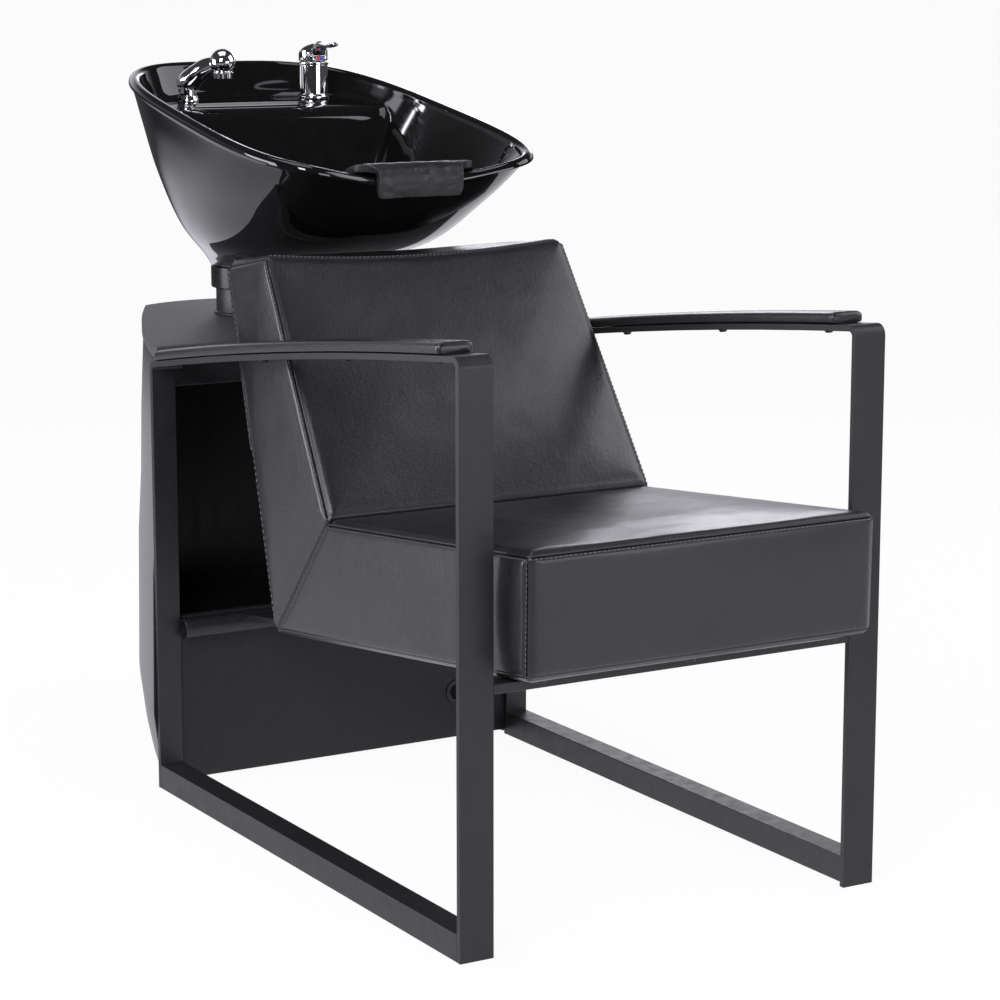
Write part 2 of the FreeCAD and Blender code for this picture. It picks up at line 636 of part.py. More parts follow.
shell_top = size("plinth_height") - size("plinth_top_thickness")
toe = size("plinth_toe_height")
toe_in = size("plinth_toe_in")
belly = size("plinth_belly")
LEVELS = [(0.0, toe_in - belly), (toe * 0.14, toe_in * 0.7 - belly),
          (toe * 0.45, toe_in * 0.36 - belly), (toe, -belly),
          (shell_top * 0.5, -belly * 0.6), (shell_top - 2 * toe, 0.0),
          (shell_top - toe, size("plinth_shoulder") * 0.35), (shell_top, size("plinth_shoulder"))]
outer_shell = loft([plinth_plan(z, inset) for z, inset in LEVELS])
wall = size("plinth_wall")
over = 30.0
inner_levels = [(-over, LEVELS[0][1]), *LEVELS[1:], (shell_top + over, size("plinth_shoulder"))]
inner_shell = loft([plinth_plan(z, inset, over, wall) for z, inset in inner_levels])
shell = outer_shell.cut(inner_shell)

hatch_low = size("hatch_sill")
hatch_high = hatch_low + size("hatch_height")
rear_y = reach_value(size("frame_depth") + size("plinth_depth"))


def hatch_block(grow):
    half = size("hatch_width") / 2 + grow
    return Part.makeBox(2 * half, 4 * wall + size("plinth_rear_bow"), hatch_high - hatch_low + 2 * grow,
                        Vector(-half, rear_y - 2 * wall, hatch_low - grow))


solid_feature("plinth_shell", shell.cut(hatch_block(size("hatch_gap"))))
solid_feature("rear_hatch", shell.common(hatch_block(0.0)))

strip_half = size("hatch_width") / 2 + size("hatch_rim")
tail_inside = rear_y + size("plinth_rear_bow") - wall


def hatch_cleat(z):
    """Wooden cleat behind the hatch opening that takes the hatch screws."""
    block = Part.makeBox(2 * strip_half, 4 * wall, size("hatch_rim") * 2,
                         Vector(-strip_half, tail_inside - 3 * wall, z - size("hatch_rim")))
    return block.common(inner_shell)


cleat_heights = (hatch_low, hatch_high)
cleats = [hatch_cleat(z) for z in cleat_heights]
screw_x = size("hatch_width") / 2 - size("hatch_rim")
hatch_screws = []
hatch_holes = []
for z in (hatch_low + size("hatch_rim") / 2, hatch_high - size("hatch_rim") / 2):
    for x in (-screw_x, screw_x):
        probe = Part.makeLine(Vector(x, rear_y - wall, z), Vector(x, rear_y + 4 * wall, z))
        skin = max(vertex.Point.y for vertex in shell.common(probe).Vertexes)
        spot = Vector(x, skin + size("hatch_screw_proud"), z)
        grip = wall + size("screw_grip")
        hatch_screws.append(placed(button_screw(size("screw_head_radius"), size("screw_head_height"),
                                              size("screw_radius"), grip), spot, Vector(0, -1, 0)))
        hatch_holes.append(Part.makeCylinder(size("screw_radius"), grip, spot, Vector(0, -1, 0)))
nodes["rear_hatch"].Shape = nodes["rear_hatch"].Shape.cut(hatch_holes)
solid_feature("hatch_cleats", Part.makeCompound([cleat.cut(hatch_holes) for cleat in cleats]))
solid_feature("hatch_screws", Part.makeCompound(hatch_screws))

top_outline = Part.Face(plinth_plan(shell_top, size("plinth_shoulder") - size("top_lip")))
top_board = top_outline.extrude(Vector(0, 0, size("plinth_top_thickness")))
pedestal_y = reach_value(size("pedestal_reach"))
top_bore = size("column_radius") - size("column_wall")
top_board = top_board.cut(Part.makeCylinder(top_bore, 4 * over, Vector(0, pedestal_y, shell_top - over)))
solid_feature("plinth_top", top_board)

# Boards inside the plinth are trimmed to the room that its shell leaves
room_gap = size("room_gap")
room = loft([plinth_plan(z, inset, over, wall + room_gap) for z, inset in inner_levels])
plinth_front = reach_value(size("frame_depth"))
panel_thickness = size("panel_thickness")
shelf_high = size("lower_panel_height")
shelf_low = shelf_high - size("shelf_thickness")
recess_rear = plinth_front + size("recess_depth")


def room_board(low_y, high_y, low_z, high_z):
    half = size("plinth_half_width")
    block = Part.makeBox(2 * half, high_y - low_y, high_z - low_z, Vector(-half, low_y, low_z))
    return block.common(room)


panel_rear = plinth_front + panel_thickness
service_spot = Vector(size("service_hole_x"), plinth_front - over, size("service_hole_height"))
service_bore = Part.makeCylinder(size("service_hole_radius"), 2 * over, service_spot, Vector(0, 1, 0))
apron_low = shell_top - size("apron_height")
solid_feature("plinth_apron", room_board(plinth_front, panel_rear, apron_low, shell_top))
solid_feature("lower_front_panel",
              room_board(plinth_front, panel_rear, size("floor_gap"), shelf_high).cut(service_bore))
solid_feature("recess_shelf", room_board(panel_rear, recess_rear, shelf_low, shelf_high))
solid_feature("recess_back",
              room_board(recess_rear, recess_rear + panel_thickness, shelf_low, shell_top))

grommet_in = "(Dims.service_hole_radius - Dims.grommet_clearance - Dims.grommet_wall)"
grommet_out = "(Dims.service_hole_radius - Dims.grommet_clearance)"
grommet_lip = "(Dims.service_hole_radius + Dims.grommet_flange)"
grommet = revolved("service_grommet", [
    (grommet_in, "-Dims.panel_thickness"), (grommet_out, "-Dims.panel_thickness"), (grommet_out, "0"),
    (grommet_lip, "0"), (grommet_lip, "Dims.grommet_lip"), (grommet_in, "Dims.grommet_lip"),
], "Dims.service_hole_x", REAR)
grommet.Placement.Rotation = FreeCAD.Rotation(Vector(1, 0, 0), 90)
grommet.setExpression("Placement.Base.z", "Dims.service_hole_height")

# Pedestal: column, fork and pin stand on the plinth; bracket and skirt tilt with the basin
PEDESTAL_Y = reach("pedestal_reach")
column_bore = "(Dims.column_radius - Dims.column_wall)"
column_top = "(Dims.plinth_height + Dims.column_height)"
flange_top = "(Dims.plinth_height + Dims.flange_thickness)"
revolved("pedestal_column", [
    (column_bore, "Dims.plinth_height"), ("Dims.flange_radius", "Dims.plinth_height"),
    ("Dims.flange_radius", flange_top), ("Dims.column_radius", flange_top),
    ("Dims.column_radius", column_top), (column_bore, column_top),
], "0", PEDESTAL_Y)

fork_top = "(Dims.pivot_height - Dims.boss_radius - Dims.flange_thickness)"
fork_low = f"({fork_top} - 2 * Dims.flange_thickness)"
fork_disc = cylinder("fork_disc", f"{column_bore} - Dims.pivot_clearance", "2 * Dims.flange_thickness",
                     ("0", PEDESTAL_Y, fork_low))
hose_hole = cylinder("fork_hose_hole", "Dims.hose_hole_radius", "4 * Dims.flange_thickness",
                     ("0", f"{PEDESTAL_Y} + Dims.hose_hole_offset", f"{fork_low} - Dims.flange_thickness"))
lug_in = "(Dims.lug_spacing / 2)"
lug_out = "(Dims.lug_spacing / 2 + Dims.lug_thickness)"
lug_top = "(Dims.pivot_height + Dims.lug_crown)"
lugs = []
for name, low, high in (("left", f"-{lug_out}", f"-{lug_in}"), ("right", lug_in, lug_out)):
    lugs.append(box(f"fork_{name}_lug", (low, f"{PEDESTAL_Y} - Dims.lug_half_depth", fork_top),
                    (high, f"{PEDESTAL_Y} + Dims.lug_half_depth", lug_top)))
pin_hole = cylinder("fork_pin_hole", "Dims.pivot_pin_radius + Dims.pivot_clearance", f"4 * {lug_out}",
                    (f"-2 * {lug_out}", PEDESTAL_Y, "Dims.pivot_height"), "X")
keep("pivot_fork", cut("pivot_fork", fuse("pivot_fork_blank", fork_disc, *lugs), hose_hole, pin_hole))
keep("pivot_pin", cylinder("pivot_pin_rod", "Dims.pivot_pin_radius", f"2 * {lug_out}",
                           (f"-{lug_out}", PEDESTAL_Y, "Dims.pivot_height"), "X"))

boss_half = f"({lug_in} - Dims.lug_play)"
plate_low = "(Dims.stem_foot - Dims.tilt_plate_thickness)"
skirt_bore = "(Dims.skirt_radius - Dims.skirt_wall)"
boss = cylinder("tilt_boss", "Dims.boss_radius", f"2 * {boss_half}",
                (f"-{boss_half}", PEDESTAL_Y, "Dims.pivot_height"), "X")
web = box("tilt_web", (f"-{boss_half}", f"{PEDESTAL_Y} - Dims.web_half_depth", "Dims.pivot_height"),
          (boss_half, f"{PEDESTAL_Y} + Dims.web_half_depth", plate_low))
plate = cylinder("tilt_plate", f"{skirt_bore} - Dims.skirt_play", "Dims.tilt_plate_thickness",
                 ("0", PEDESTAL_Y, plate_low))
boss_bore = cylinder("tilt_boss_bore", "Dims.pivot_pin_radius + Dims.pivot_clearance", f"4 * {boss_half}",
                     (f"-2 * {boss_half}", PEDESTAL_Y, "Dims.pivot_height"), "X")
plate_hole = cylinder("tilt_plate_hole", "Dims.hose_hole_radius", "4 * Dims.tilt_plate_thickness",
                      ("0", f"{PEDESTAL_Y} + Dims.hose_hole_offset", f"{plate_low} - Dims.tilt_plate_thickness"))
keep("tilt_bracket", cut("tilt_bracket", fuse("tilt_bracket_blank", boss, web, plate), boss_bore, plate_hole))
revolved("stem_skirt", [
    (skirt_bore, "Dims.skirt_foot"), ("Dims.skirt_radius", "Dims.skirt_foot"),
    ("Dims.skirt_radius", "Dims.stem_foot"), (skirt_bore, "Dims.stem_foot"),
], "0", PEDESTAL_Y)


# Ceramic basin: a hull lofted through rounded rings from the stem to the sloping rim
def dent_share(x):
    """Share of the neck dent at a place across the front: full in the middle, faded out towards the ears."""
    fade = (abs(x) - size("neck_dent_flat")) / (size("neck_dent_end") - size("neck_dent_flat"))
    return 0.5 + 0.5 * cos(pi * min(max(fade, 0.0), 1.0))


def ring(front, rear, front_half, rear_half, front_z, rear_z, squareness, dent=0.0, count=40):
    """Egg-shaped closed ring in a plane that rises from front to rear, dented at the neck."""
    points = []
    for step in range(count):
        angle = 2 * pi * step / count
        lean = -cos(angle)
        side = sin(angle)
        share = 0.5 + 0.5 * abs(lean) ** (2 / squareness) * (1 if lean > 0 else -1)
        half = front_half + (rear_half - front_half) * share
        x = half * abs(side) ** (2 / squareness) * (1 if side > 0 else -1)
        if lean < 0:
            share += dent * dent_share(x) / (rear - front)
        points.append(Vector(x, reach_value(front + (rear - front) * share), front_z + (rear_z - front_z) * share))
    curve = Part.BSplineCurve()
    curve.interpolate(Points=points, PeriodicFlag=True)
    return Part.Wire(curve.toShape())


def round_ring(radius, centre, z):
    return ring(centre - radius, centre + radius, radius, radius, z, z, 2)


rim_front = size("rim_front_reach")
rim_rear = size("rim_rear_reach")
rim_low = size("rim_front_height")
rim_high = size("rim_rear_height")
front_half = size("rim_front_half")
rear_half = size("rim_rear_half")
pedestal = size("pedestal_reach")
stem = size("stem_radius")
stem_foot = size("stem_foot")
floor_z = size("bowl_floor")
basin_wall = size("basin_wall")
deck_z = size("deck_height")

square = size("rim_squareness")
dent = size("neck_dent")
hull = loft([
    round_ring(stem, pedestal, stem_foot),
    ring(pedestal - 195, pedestal + stem - 2, 120, 84, stem_foot + 20, stem_foot + 25, 2.2),
    ring(rim_front + 200, rim_rear - 34, 182, 128, stem_foot + 52, stem_foot + 75, 2.5),
    ring(rim_front + 62, rim_rear - 16, front_half - 10, rear_half - 34, rim_low - 70, rim_high - 140, 2.8, dent * 0.5),
    ring(rim_front + 14, rim_rear - 6, front_half - 6, rear_half - 12, rim_low - 32, rim_high - 58, 3.1, dent),
    ring(rim_front, rim_rear, front_half, rear_half, rim_low, rim_high, square, dent),
], ruled=False)

lift = 40.0
inside = loft([
    ring(rim_front + 215, pedestal - 10, 128, 96, floor_z, floor_z, 2.5),
    ring(rim_front + 66 + basin_wall, rim_rear - 18 - basin_wall, front_half - 14 - basin_wall,
         rear_half - 38 - basin_wall, rim_low - 64, rim_high - 135, 2.8, dent * 0.5),
    ring(rim_front + 15 + basin_wall, rim_rear - 6 - basin_wall, front_half - 7 - basin_wall,
         rear_half - 12 - basin_wall, rim_low - 32, rim_high - 58, 3.1, dent),
    ring(rim_front + basin_wall, rim_rear - basin_wall, front_half - basin_wall,
         rear_half - basin_wall, rim_low, rim_high, square, dent),
    ring(rim_front + basin_wall, rim_rear - basin_wall, front_half - basin_wall,
         rear_half - basin_wall, rim_low + lift, rim_high + lift, square, dent),
], ruled=False)

reach_all = 2 * rim_rear
deck_edge_y = reach_value(size("deck_edge_reach"))
wall_foot_y = deck_edge_y - size("deck_wall_run")
wall_line = [Vector(-rim_rear, deck_edge_y - reach_all, floor_z - 1), Vector(-rim_rear, wall_foot_y, floor_z - 1),
             Vector(-rim_rear, wall_foot_y, floor_z), Vector(-rim_rear, deck_edge_y, deck_z),
             Vector(-rim_rear, deck_edge_y, reach_all), Vector(-rim_rear, deck_edge_y - reach_all, reach_all)]
front_space = Part.Face(Part.makePolygon(wall_line + wall_line[:1])).extrude(Vector(reach_all, 0, 0))
deck_space = Part.makeBox(reach_all, reach_all, reach_all, Vector(-rim_rear, deck_edge_y - 1, deck_z))
cavity = inside.common(front_space.fuse(deck_space))

deck_under = deck_z - size("deck_thickness")
hollow_top = floor_z - size("deck_thickness") - 2
stem_hollow = loft([
    round_ring(size("stem_bore"), pedestal, stem_foot),
    ring(pedestal - 180, pedestal + stem - 10, 62, 56, stem_foot + 26, stem_foot + 26, 2.1),
    ring(pedestal - 245, pedestal + stem - 10, 68, 60, hollow_top, hollow_top, 2.1),
])
deck_front = size("deck_edge_reach") + size("deck_thickness")
deck_hollow = loft([
    ring(deck_front - 50, pedestal + stem - 12, 56, 56, hollow_top - 14, hollow_top - 14, 2.1),
    ring(deck_front, rim_rear - 16, rear_half - 46, rear_half - 50, deck_under, deck_under, 3.0),
])

neck_z = size("neck_height")
neck_half = size("neck_half_width")
flare = size("neck_flare")
neck_y = reach_value(rim_front + dent)
neck_profile = [Vector(-neck_half, 0, neck_z), Vector(neck_half, 0, neck_z),
                Vector(neck_half + flare, 0, neck_z + 2 * flare), Vector(-neck_half - flare, 0, neck_z + 2 * flare)]
neck_face = Part.Face(Part.makePolygon(neck_profile + neck_profile[:1]))
neck_face.translate(Vector(0, neck_y - 5 * basin_wall, 0))
neck_cut = neck_face.extrude(Vector(0, 12 * basin_wall, 0))

tap_x = size("tap_half_spacing")
pedestal_y = reach_value(pedestal)
drain_y = reach_value(size("drain_reach"))
tap_bores = [Part.makeCylinder(size("tap_shank_radius") + size("tap_clearance"), 3 * size("deck_thickness"),
                               Vector(x, pedestal_y, deck_under - size("deck_thickness"))) for x in (-tap_x, tap_x)]
drain_bore = Part.makeCylinder(size("drain_bore") + size("drain_clearance"), floor_z - hollow_top + 20,
                               Vector(0, drain_y, hollow_top - 10))
basin = hull.cut([cavity, stem_hollow, deck_hollow, neck_cut, drain_bore, *tap_bores])
solid_feature("basin", basin)


# Neck rest: a soft saddle over the front rim
def make_neck_rest():
    body = doc.addObject("PartDesign::Body", "neck_rest_body")
    sketch = sketch_on(body, "neck_rest_profile", "YZ_Plane", "-Dims.neck_rest_width / 2")
    face = reach("neck_rest_reach")
    back = f"({face} + Dims.neck_rest_thickness)"
    seat = "(Dims.neck_height + Dims.pad_seat_gap)"
    crest = f"({seat} + Dims.neck_rest_top)"
    shoulder = f"({seat} + Dims.neck_rest_rise)"
    inner = f"({face} + Dims.neck_rest_span)"
    tail = f"({seat} - Dims.neck_rest_tail)"
    outline(sketch, [
        (face, f"{seat} - Dims.neck_rest_flap"), (back, f"{seat} - Dims.neck_rest_flap"), (back, seat),
        (f"{inner} + 1", seat), (f"{inner} + 11", tail), (f"{inner} + 20", f"{tail} + 3"),
        (f"{inner} + 10", shoulder), (inner, crest), (f"{face} + 8", crest), (face, shoulder),
    ])
    pad(body, sketch, "Dims.neck_rest_width")
    trims = []
    flap_half = "(Dims.neck_rest_flap_width / 2)"
    whole_half = "(Dims.neck_rest_width / 2)"
    for name, low, high in (("left", f"-{whole_half}", f"-{flap_half}"), ("right", flap_half, whole_half)):
        trims.append(box(f"neck_rest_{name}_trim", (low, face, f"{seat} - Dims.neck_rest_flap"), (high, back, seat)))
    keep("neck_rest", cut("neck_rest", body, *trims))


make_neck_rest()

# Waste fitting in the bowl's floor
DRAIN_Y = reach("drain_reach")
drain_in = "(Dims.drain_bore - Dims.drain_wall)"
drain_top = "(Dims.bowl_floor + Dims.drain_flange_thickness)"
drain_foot = "(Dims.bowl_floor - Dims.drain_tail)"
ledge_top = f"({drain_top} - Dims.strainer_depth)"
ledge_low = f"({ledge_top} - Dims.drain_wall)"
ledge_in = f"({drain_in} - Dims.strainer_ledge)"
revolved("drain_body", [
    (ledge_in, ledge_low), (drain_in, ledge_low), (drain_in, drain_foot), ("Dims.drain_bore", drain_foot),
    ("Dims.drain_bore", "Dims.bowl_floor"), ("Dims.drain_flange_radius", "Dims.bowl_floor"),
    ("Dims.drain_flange_radius", drain_top), (drain_in, drain_top), (drain_in, ledge_top), (ledge_in, ledge_top),
], "0", DRAIN_Y)
nut_top = "(Dims.bowl_floor - Dims.deck_thickness - 2)"
revolved("drain_nut", [
    ("Dims.drain_bore + Dims.pivot_clearance", f"{nut_top} - Dims.drain_nut_height"),
    ("Dims.drain_nut_radius", f"{nut_top} - Dims.drain_nut_height"),
    ("Dims.drain_nut_radius", nut_top), ("Dims.drain_bore + Dims.pivot_clearance", nut_top),
], "0", DRAIN_Y)


def make_strainer():
    """Lift-out waste strainer with a ring of holes."""
    body = doc.addObject("PartDesign::Body", "strainer_body")
    section = sketch_on(body, "strainer_section", "XZ_Plane")
    foot = f"({ledge_top} + Dims.seam_gap)"
    outline(section, [("0", foot), ("Dims.strainer_radius", foot),
                      ("Dims.strainer_radius", f"{foot} + Dims.strainer_rim"),
                      ("Dims.strainer_ring + 2 * Dims.strainer_hole", f"{foot} + Dims.strainer_rim / 2"),
                      ("0", f"{foot} + Dims.strainer_rim / 2")])
    turned = body.newObject("PartDesign::Revolution", "strainer_turned")
    turned.Profile = section
    turned.ReferenceAxis = (section, ["V_Axis"])
    turned.Angle = 360
    doc.recompute()
    drill = sketch_on(body, "strainer_drill", "XY_Plane", drain_top)
    circle(drill, "Dims.strainer_ring", "0", "Dims.strainer_hole")
    hole = pocket(body, drill, "2 * Dims.strainer_depth")
    ring_of_holes = body.newObject("PartDesign::PolarPattern", "strainer_holes")
    ring_of_holes.Originals = [hole]
    ring_of_holes.Axis = (drill, ["N_Axis"])
    ring_of_holes.Angle = 360
    ring_of_holes.Occurrences = 10
    body.Tip = ring_of_holes
    bind(body, Placement__Base__y=DRAIN_Y)
    keep("strainer", body)


make_strainer()

# Mixer tap
DECK = "Dims.deck_height"
mixer_top = f"({DECK} + Dims.mixer_height)"
ring_top = f"({mixer_top} + Dims.mixer_ring_height)"
shank_foot = f"({DECK} - Dims.tap_shank_length)"
socket_radius = "(Dims.spindle_radius + Dims.pivot_clearance)"
socket_floor = f"({mixer_top} - Dims.spindle_height)"
TAP_X = "Dims.tap_half_spacing"
revolved("mixer_body", [
    ("0", shank_foot), ("Dims.tap_shank_radius", shank_foot), ("Dims.tap_shank_radius", DECK),
    ("Dims.mixer_radius + 2", DECK), ("Dims.mixer_radius + 2", f"{DECK} + 4"), ("Dims.mixer_radius", f"{DECK} + 7"),
    ("Dims.mixer_radius", mixer_top), (socket_radius, mixer_top), (socket_radius, socket_floor), ("0", socket_floor),
], TAP_X, PEDESTAL_Y)
revolved("mixer_ring", [
    ("Dims.spindle_radius + Dims.cap_gap", mixer_top), ("Dims.mixer_radius + Dims.mixer_ring_step", mixer_top),
    ("Dims.mixer_radius + Dims.mixer_ring_step", ring_top), ("Dims.spindle_radius + Dims.cap_gap", ring_top),
], TAP_X, PEDESTAL_Y)
spindle_top = f"({ring_top} + Dims.spindle_height / 2)"
revolved("mixer_spindle", [
    ("0", f"{socket_floor} + Dims.cap_gap"), ("Dims.spindle_radius", f"{socket_floor} + Dims.cap_gap"),
    ("Dims.spindle_radius", spindle_top), ("0", spindle_top),
], TAP_X, PEDESTAL_Y)


def make_mixer_cap():
    """Domed cap and forward lever in one casting, hollow over the spindle, with a round mark let in."""
    x = size("tap_half_spacing")
    low = value_of(ring_top) + size("cap_gap")
    radius = size("mixer_radius")
    high = size("cap_height")
    wall_high = high * 0.45
    drum = Part.makeCylinder(radius, wall_high, Vector(x, pedestal_y, low))
    dome_height = high - wall_high
    bend = (radius ** 2 + dome_height ** 2) / (2 * dome_height)
    dome = Part.makeSphere(bend, Vector(x, pedestal_y, low + high - bend))
    dome = dome.common(Part.makeCylinder(radius, dome_height, Vector(x, pedestal_y, low + wall_high)))
    half = size("lever_width") / 2
    tip = pedestal_y - size("lever_length")
    thin = size("lever_thickness")
    rise = size("lever_rise")

    def lever_section(y, half_width, z, thick):
        corners = [Vector(x - half_width, y, z), Vector(x + half_width, y, z),
                   Vector(x + half_width, y, z + thick), Vector(x - half_width, y, z + thick)]
        edges = [Part.makeLine(corners[0], corners[1]), Part.makeLine(corners[1], corners[2]),
                 Part.Arc(corners[2], Vector(x, y, z + thick * 1.4), corners[3]).toShape(),
                 Part.makeLine(corners[3], corners[0])]
        return Part.Wire(edges)

    lever = loft([
        lever_section(pedestal_y, half * 1.3, low + wall_high, dome_height * 0.6),
        lever_section(pedestal_y - radius, half * 1.15, low + wall_high * 1.1, thin * 1.3),
        lever_section(tip + radius, half, low + wall_high + rise * 0.5, thin),
        lever_section(tip, half * 0.75, low + wall_high + rise, thin * 0.6),
    ])
    well_radius = size("spindle_radius") * 1.7
    well = Part.makeCylinder(well_radius, size("spindle_height") / 2 + 3, Vector(x, pedestal_y, low))
    mark_spot = Vector(x, pedestal_y - radius - size("mark_thickness") * 0.4, low + wall_high * 0.5)
    mark = Part.makeCylinder(size("mark_radius"), size("mark_thickness") * 2, mark_spot, Vector(0, 1, 0))
    cap = drum.fuse([dome, lever]).cut([well, mark]).removeSplitter()
    solid_feature("mixer_cap", cap)
    solid_feature("mixer_mark", mark)


make_mixer_cap()

# Pull-out spray
base_top = f"({DECK} + Dims.spray_base_height)"
spigot_low = f"({DECK} + Dims.spray_base_height / 3)"
sleeve_top = f"({base_top} + Dims.sleeve_height)"
sleeve_bore = "(Dims.spray_shank_radius + Dims.spray_fit)"
spigot = "(Dims.sleeve_radius - Dims.sleeve_wall / 3)"
SPRAY_X = "-Dims.tap_half_spacing"
revolved("spray_base", [
    ("Dims.hose_radius", shank_foot), ("Dims.tap_shank_radius", shank_foot), ("Dims.tap_shank_radius", DECK),
    ("Dims.spray_base_radius + 2", DECK), ("Dims.spray_base_radius + 2", f"{DECK} + 3"),
    ("Dims.spray_base_radius", base_top),
    (f"{spigot} + Dims.pivot_clearance", base_top), (f"{spigot} + Dims.pivot_clearance", spigot_low),
    ("Dims.hose_radius", spigot_low),
], SPRAY_X, PEDESTAL_Y)
revolved("spray_sleeve", [
    (sleeve_bore, f"{spigot_low} + Dims.cap_gap"), (spigot, f"{spigot_low} + Dims.cap_gap"),
    (spigot, f"{base_top} + Dims.cap_gap"), ("Dims.sleeve_radius", f"{base_top} + Dims.cap_gap"),
    ("Dims.sleeve_radius", sleeve_top), (sleeve_bore, sleeve_top),
], SPRAY_X, PEDESTAL_Y)


def make_spray():
    """Curved tapering handset with a ball head and a downward nozzle."""
    foot = Vector(-size("tap_half_spacing"), pedestal_y, value_of(sleeve_top) + size("cap_gap"))
    bearing = radians(size("spray_bearing"))
    forward = Vector(cos(bearing), -sin(bearing), 0)
    across, rise = size("spray_reach"), size("spray_rise")
    sections = []
    for share in (0.0, 0.25, 0.5, 0.75, 1.0):
        angle = share * pi / 2 * 0.92
        spot = foot + forward * across * (1 - cos(angle)) / (1 - cos(pi / 2 * 0.92))
        spot += Vector(0, 0, rise * sin(angle) / sin(pi / 2 * 0.92))
        tangent = forward * across * sin(angle) + Vector(0, 0, rise * cos(angle))
        radius = size("spray_foot_radius") + (size("spray_neck_radius") - size("spray_foot_radius")) * share
        sections.append(Part.Wire(Part.makeCircle(radius, spot, tangent)))
    head_spot = spot
    head_radius = size("spray_head_radius")
    ball = Part.makeSphere(head_radius, head_spot)
    shank_length = size("spray_shank_length")
    shank = Part.makeCylinder(size("spray_shank_radius"), shank_length + size("cap_gap"),
                              foot - Vector(0, 0, shank_length + size("cap_gap")))
    pipe = loft(sections, ruled=False).fuse(shank).cut(ball)
    nozzle_low = head_spot - Vector(0, 0, head_radius + size("nozzle_height") / 2)
    nozzle = Part.makeCone(size("nozzle_radius") * 0.93, size("nozzle_radius"), size("nozzle_height"), nozzle_low)
    nozzle = nozzle.cut(ball)
    solid_feature("spray_pipe", pipe)
    solid_feature("spray_head", ball)
    solid_feature("spray_nozzle", nozzle)


make_spray()


def tap_nut(x):
    low = Vector(x, pedestal_y, deck_under - size("tap_nut_height"))
    blank = Part.makeCylinder(size("tap_nut_radius"), size("tap_nut_height"), low)
    return blank.cut(Part.makeCylinder(size("tap_shank_radius") + size("pivot_clearance"),
                                       size("tap_nut_height"), low))


solid_feature("tap_nuts", Part.makeCompound([tap_nut(-tap_x), tap_nut(tap_x)]))

# Every object has to be sound before any piece is written
doc.recompute()
for item in doc.Objects:
    if "Invalid" in item.State or "Error" in item.State:
        raise ValueError(f"{item.Label} failed: {item.State}")
for label, item in nodes.items():
    if item.Shape.isNull() or not item.Shape.isValid() or not item.Shape.Solids:
        raise ValueError(f"{label} has no sound solid")
os.makedirs("parts", exist_ok=True)
for label, item in nodes.items():
    item.Shape.exportStep(f"parts/{label}.step")
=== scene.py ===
import json
from math import cos, exp, hypot, pi, radians, sin, sqrt

import bpy
from bpy.props import FloatProperty, FloatVectorProperty, PointerProperty
from mathutils import Matrix, Vector, noise
from mathutils.bvhtree import BVHTree


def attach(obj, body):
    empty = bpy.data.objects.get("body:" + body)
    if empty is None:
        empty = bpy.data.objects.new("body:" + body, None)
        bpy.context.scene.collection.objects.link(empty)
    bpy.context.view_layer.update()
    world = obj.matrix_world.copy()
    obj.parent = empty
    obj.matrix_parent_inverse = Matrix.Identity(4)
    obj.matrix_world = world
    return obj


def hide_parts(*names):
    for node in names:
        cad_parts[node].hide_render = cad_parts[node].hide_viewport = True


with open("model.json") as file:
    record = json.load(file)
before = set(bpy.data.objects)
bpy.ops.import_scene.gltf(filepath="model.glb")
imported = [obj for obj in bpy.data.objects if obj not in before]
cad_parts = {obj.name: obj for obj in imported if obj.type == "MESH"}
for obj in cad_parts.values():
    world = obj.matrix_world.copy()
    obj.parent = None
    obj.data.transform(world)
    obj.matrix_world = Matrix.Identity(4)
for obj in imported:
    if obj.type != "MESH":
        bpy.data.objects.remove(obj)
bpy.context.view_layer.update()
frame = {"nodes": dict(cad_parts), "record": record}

bl_info = {
    "name": "Salon backwash unit",
    "version": (1, 0, 0),
    "blender": (4, 5, 0),
    "location": "3D View > Sidebar > Backwash",
    "description": "Dresses a shampoo chair with a tilting basin: vinyl cushions, glazed bowl, taps and frame",
    "category": "Object",
}

MM = 0.001
LEG_FRONT = -643.0


def place(x, y, z):
    """A point given in millimetres from the middle plane, the front legs and the floor."""
    return Vector((x * MM, (y + LEG_FRONT) * MM, z * MM))


def smooth_step(value, low, high):
    share = min(max((value - low) / (high - low), 0.0), 1.0)
    return share * share * (3.0 - 2.0 * share)


def signed_power(value, power):
    return abs(value) ** power * (1 if value > 0 else -1)


# Sizes and colours that a user would change
def colour_setting(name, description, default):
    return FloatVectorProperty(name=name, description=description, subtype="COLOR", default=default, min=0.0, max=1.0)


def length_setting(name, description, default, low, high):
    return FloatProperty(name=name, description=description, subtype="DISTANCE", unit="LENGTH",
                         default=default, min=low, max=high)


class FinishSettings(bpy.types.PropertyGroup):
    vinyl_colour: colour_setting("Vinyl", "Colour of the upholstery", (0.009, 0.009, 0.0098))
    thread_colour: colour_setting("Thread", "Colour of the stitching", (0.085, 0.085, 0.09))
    coat_colour: colour_setting("Powder coat", "Colour of the steel frame", (0.013, 0.013, 0.014))
    glaze_colour: colour_setting("Glaze", "Colour of the basin", (0.004, 0.004, 0.0042))
    laminate_colour: colour_setting("Laminate", "Colour of the plinth's top and boards", (0.062, 0.061, 0.065))


class ShapeSettings(bpy.types.PropertyGroup):
    cushion_puff: length_setting("Cushion puff", "Most that a cushion's cover swells", 0.0075, 0.0, 0.02)
    edge_softness: length_setting("Edge softness", "Radius of the cushions' edges", 0.014, 0.002, 0.02)
    rim_width: length_setting("Rim width", "Width of the basin's rolled rim", 0.017, 0.01, 0.03)


# Selection and mesh helpers
def deselect():
    if bpy.context.object and bpy.context.object.mode != "OBJECT":
        bpy.ops.object.mode_set(mode="OBJECT")
    bpy.ops.object.select_all(action="DESELECT")


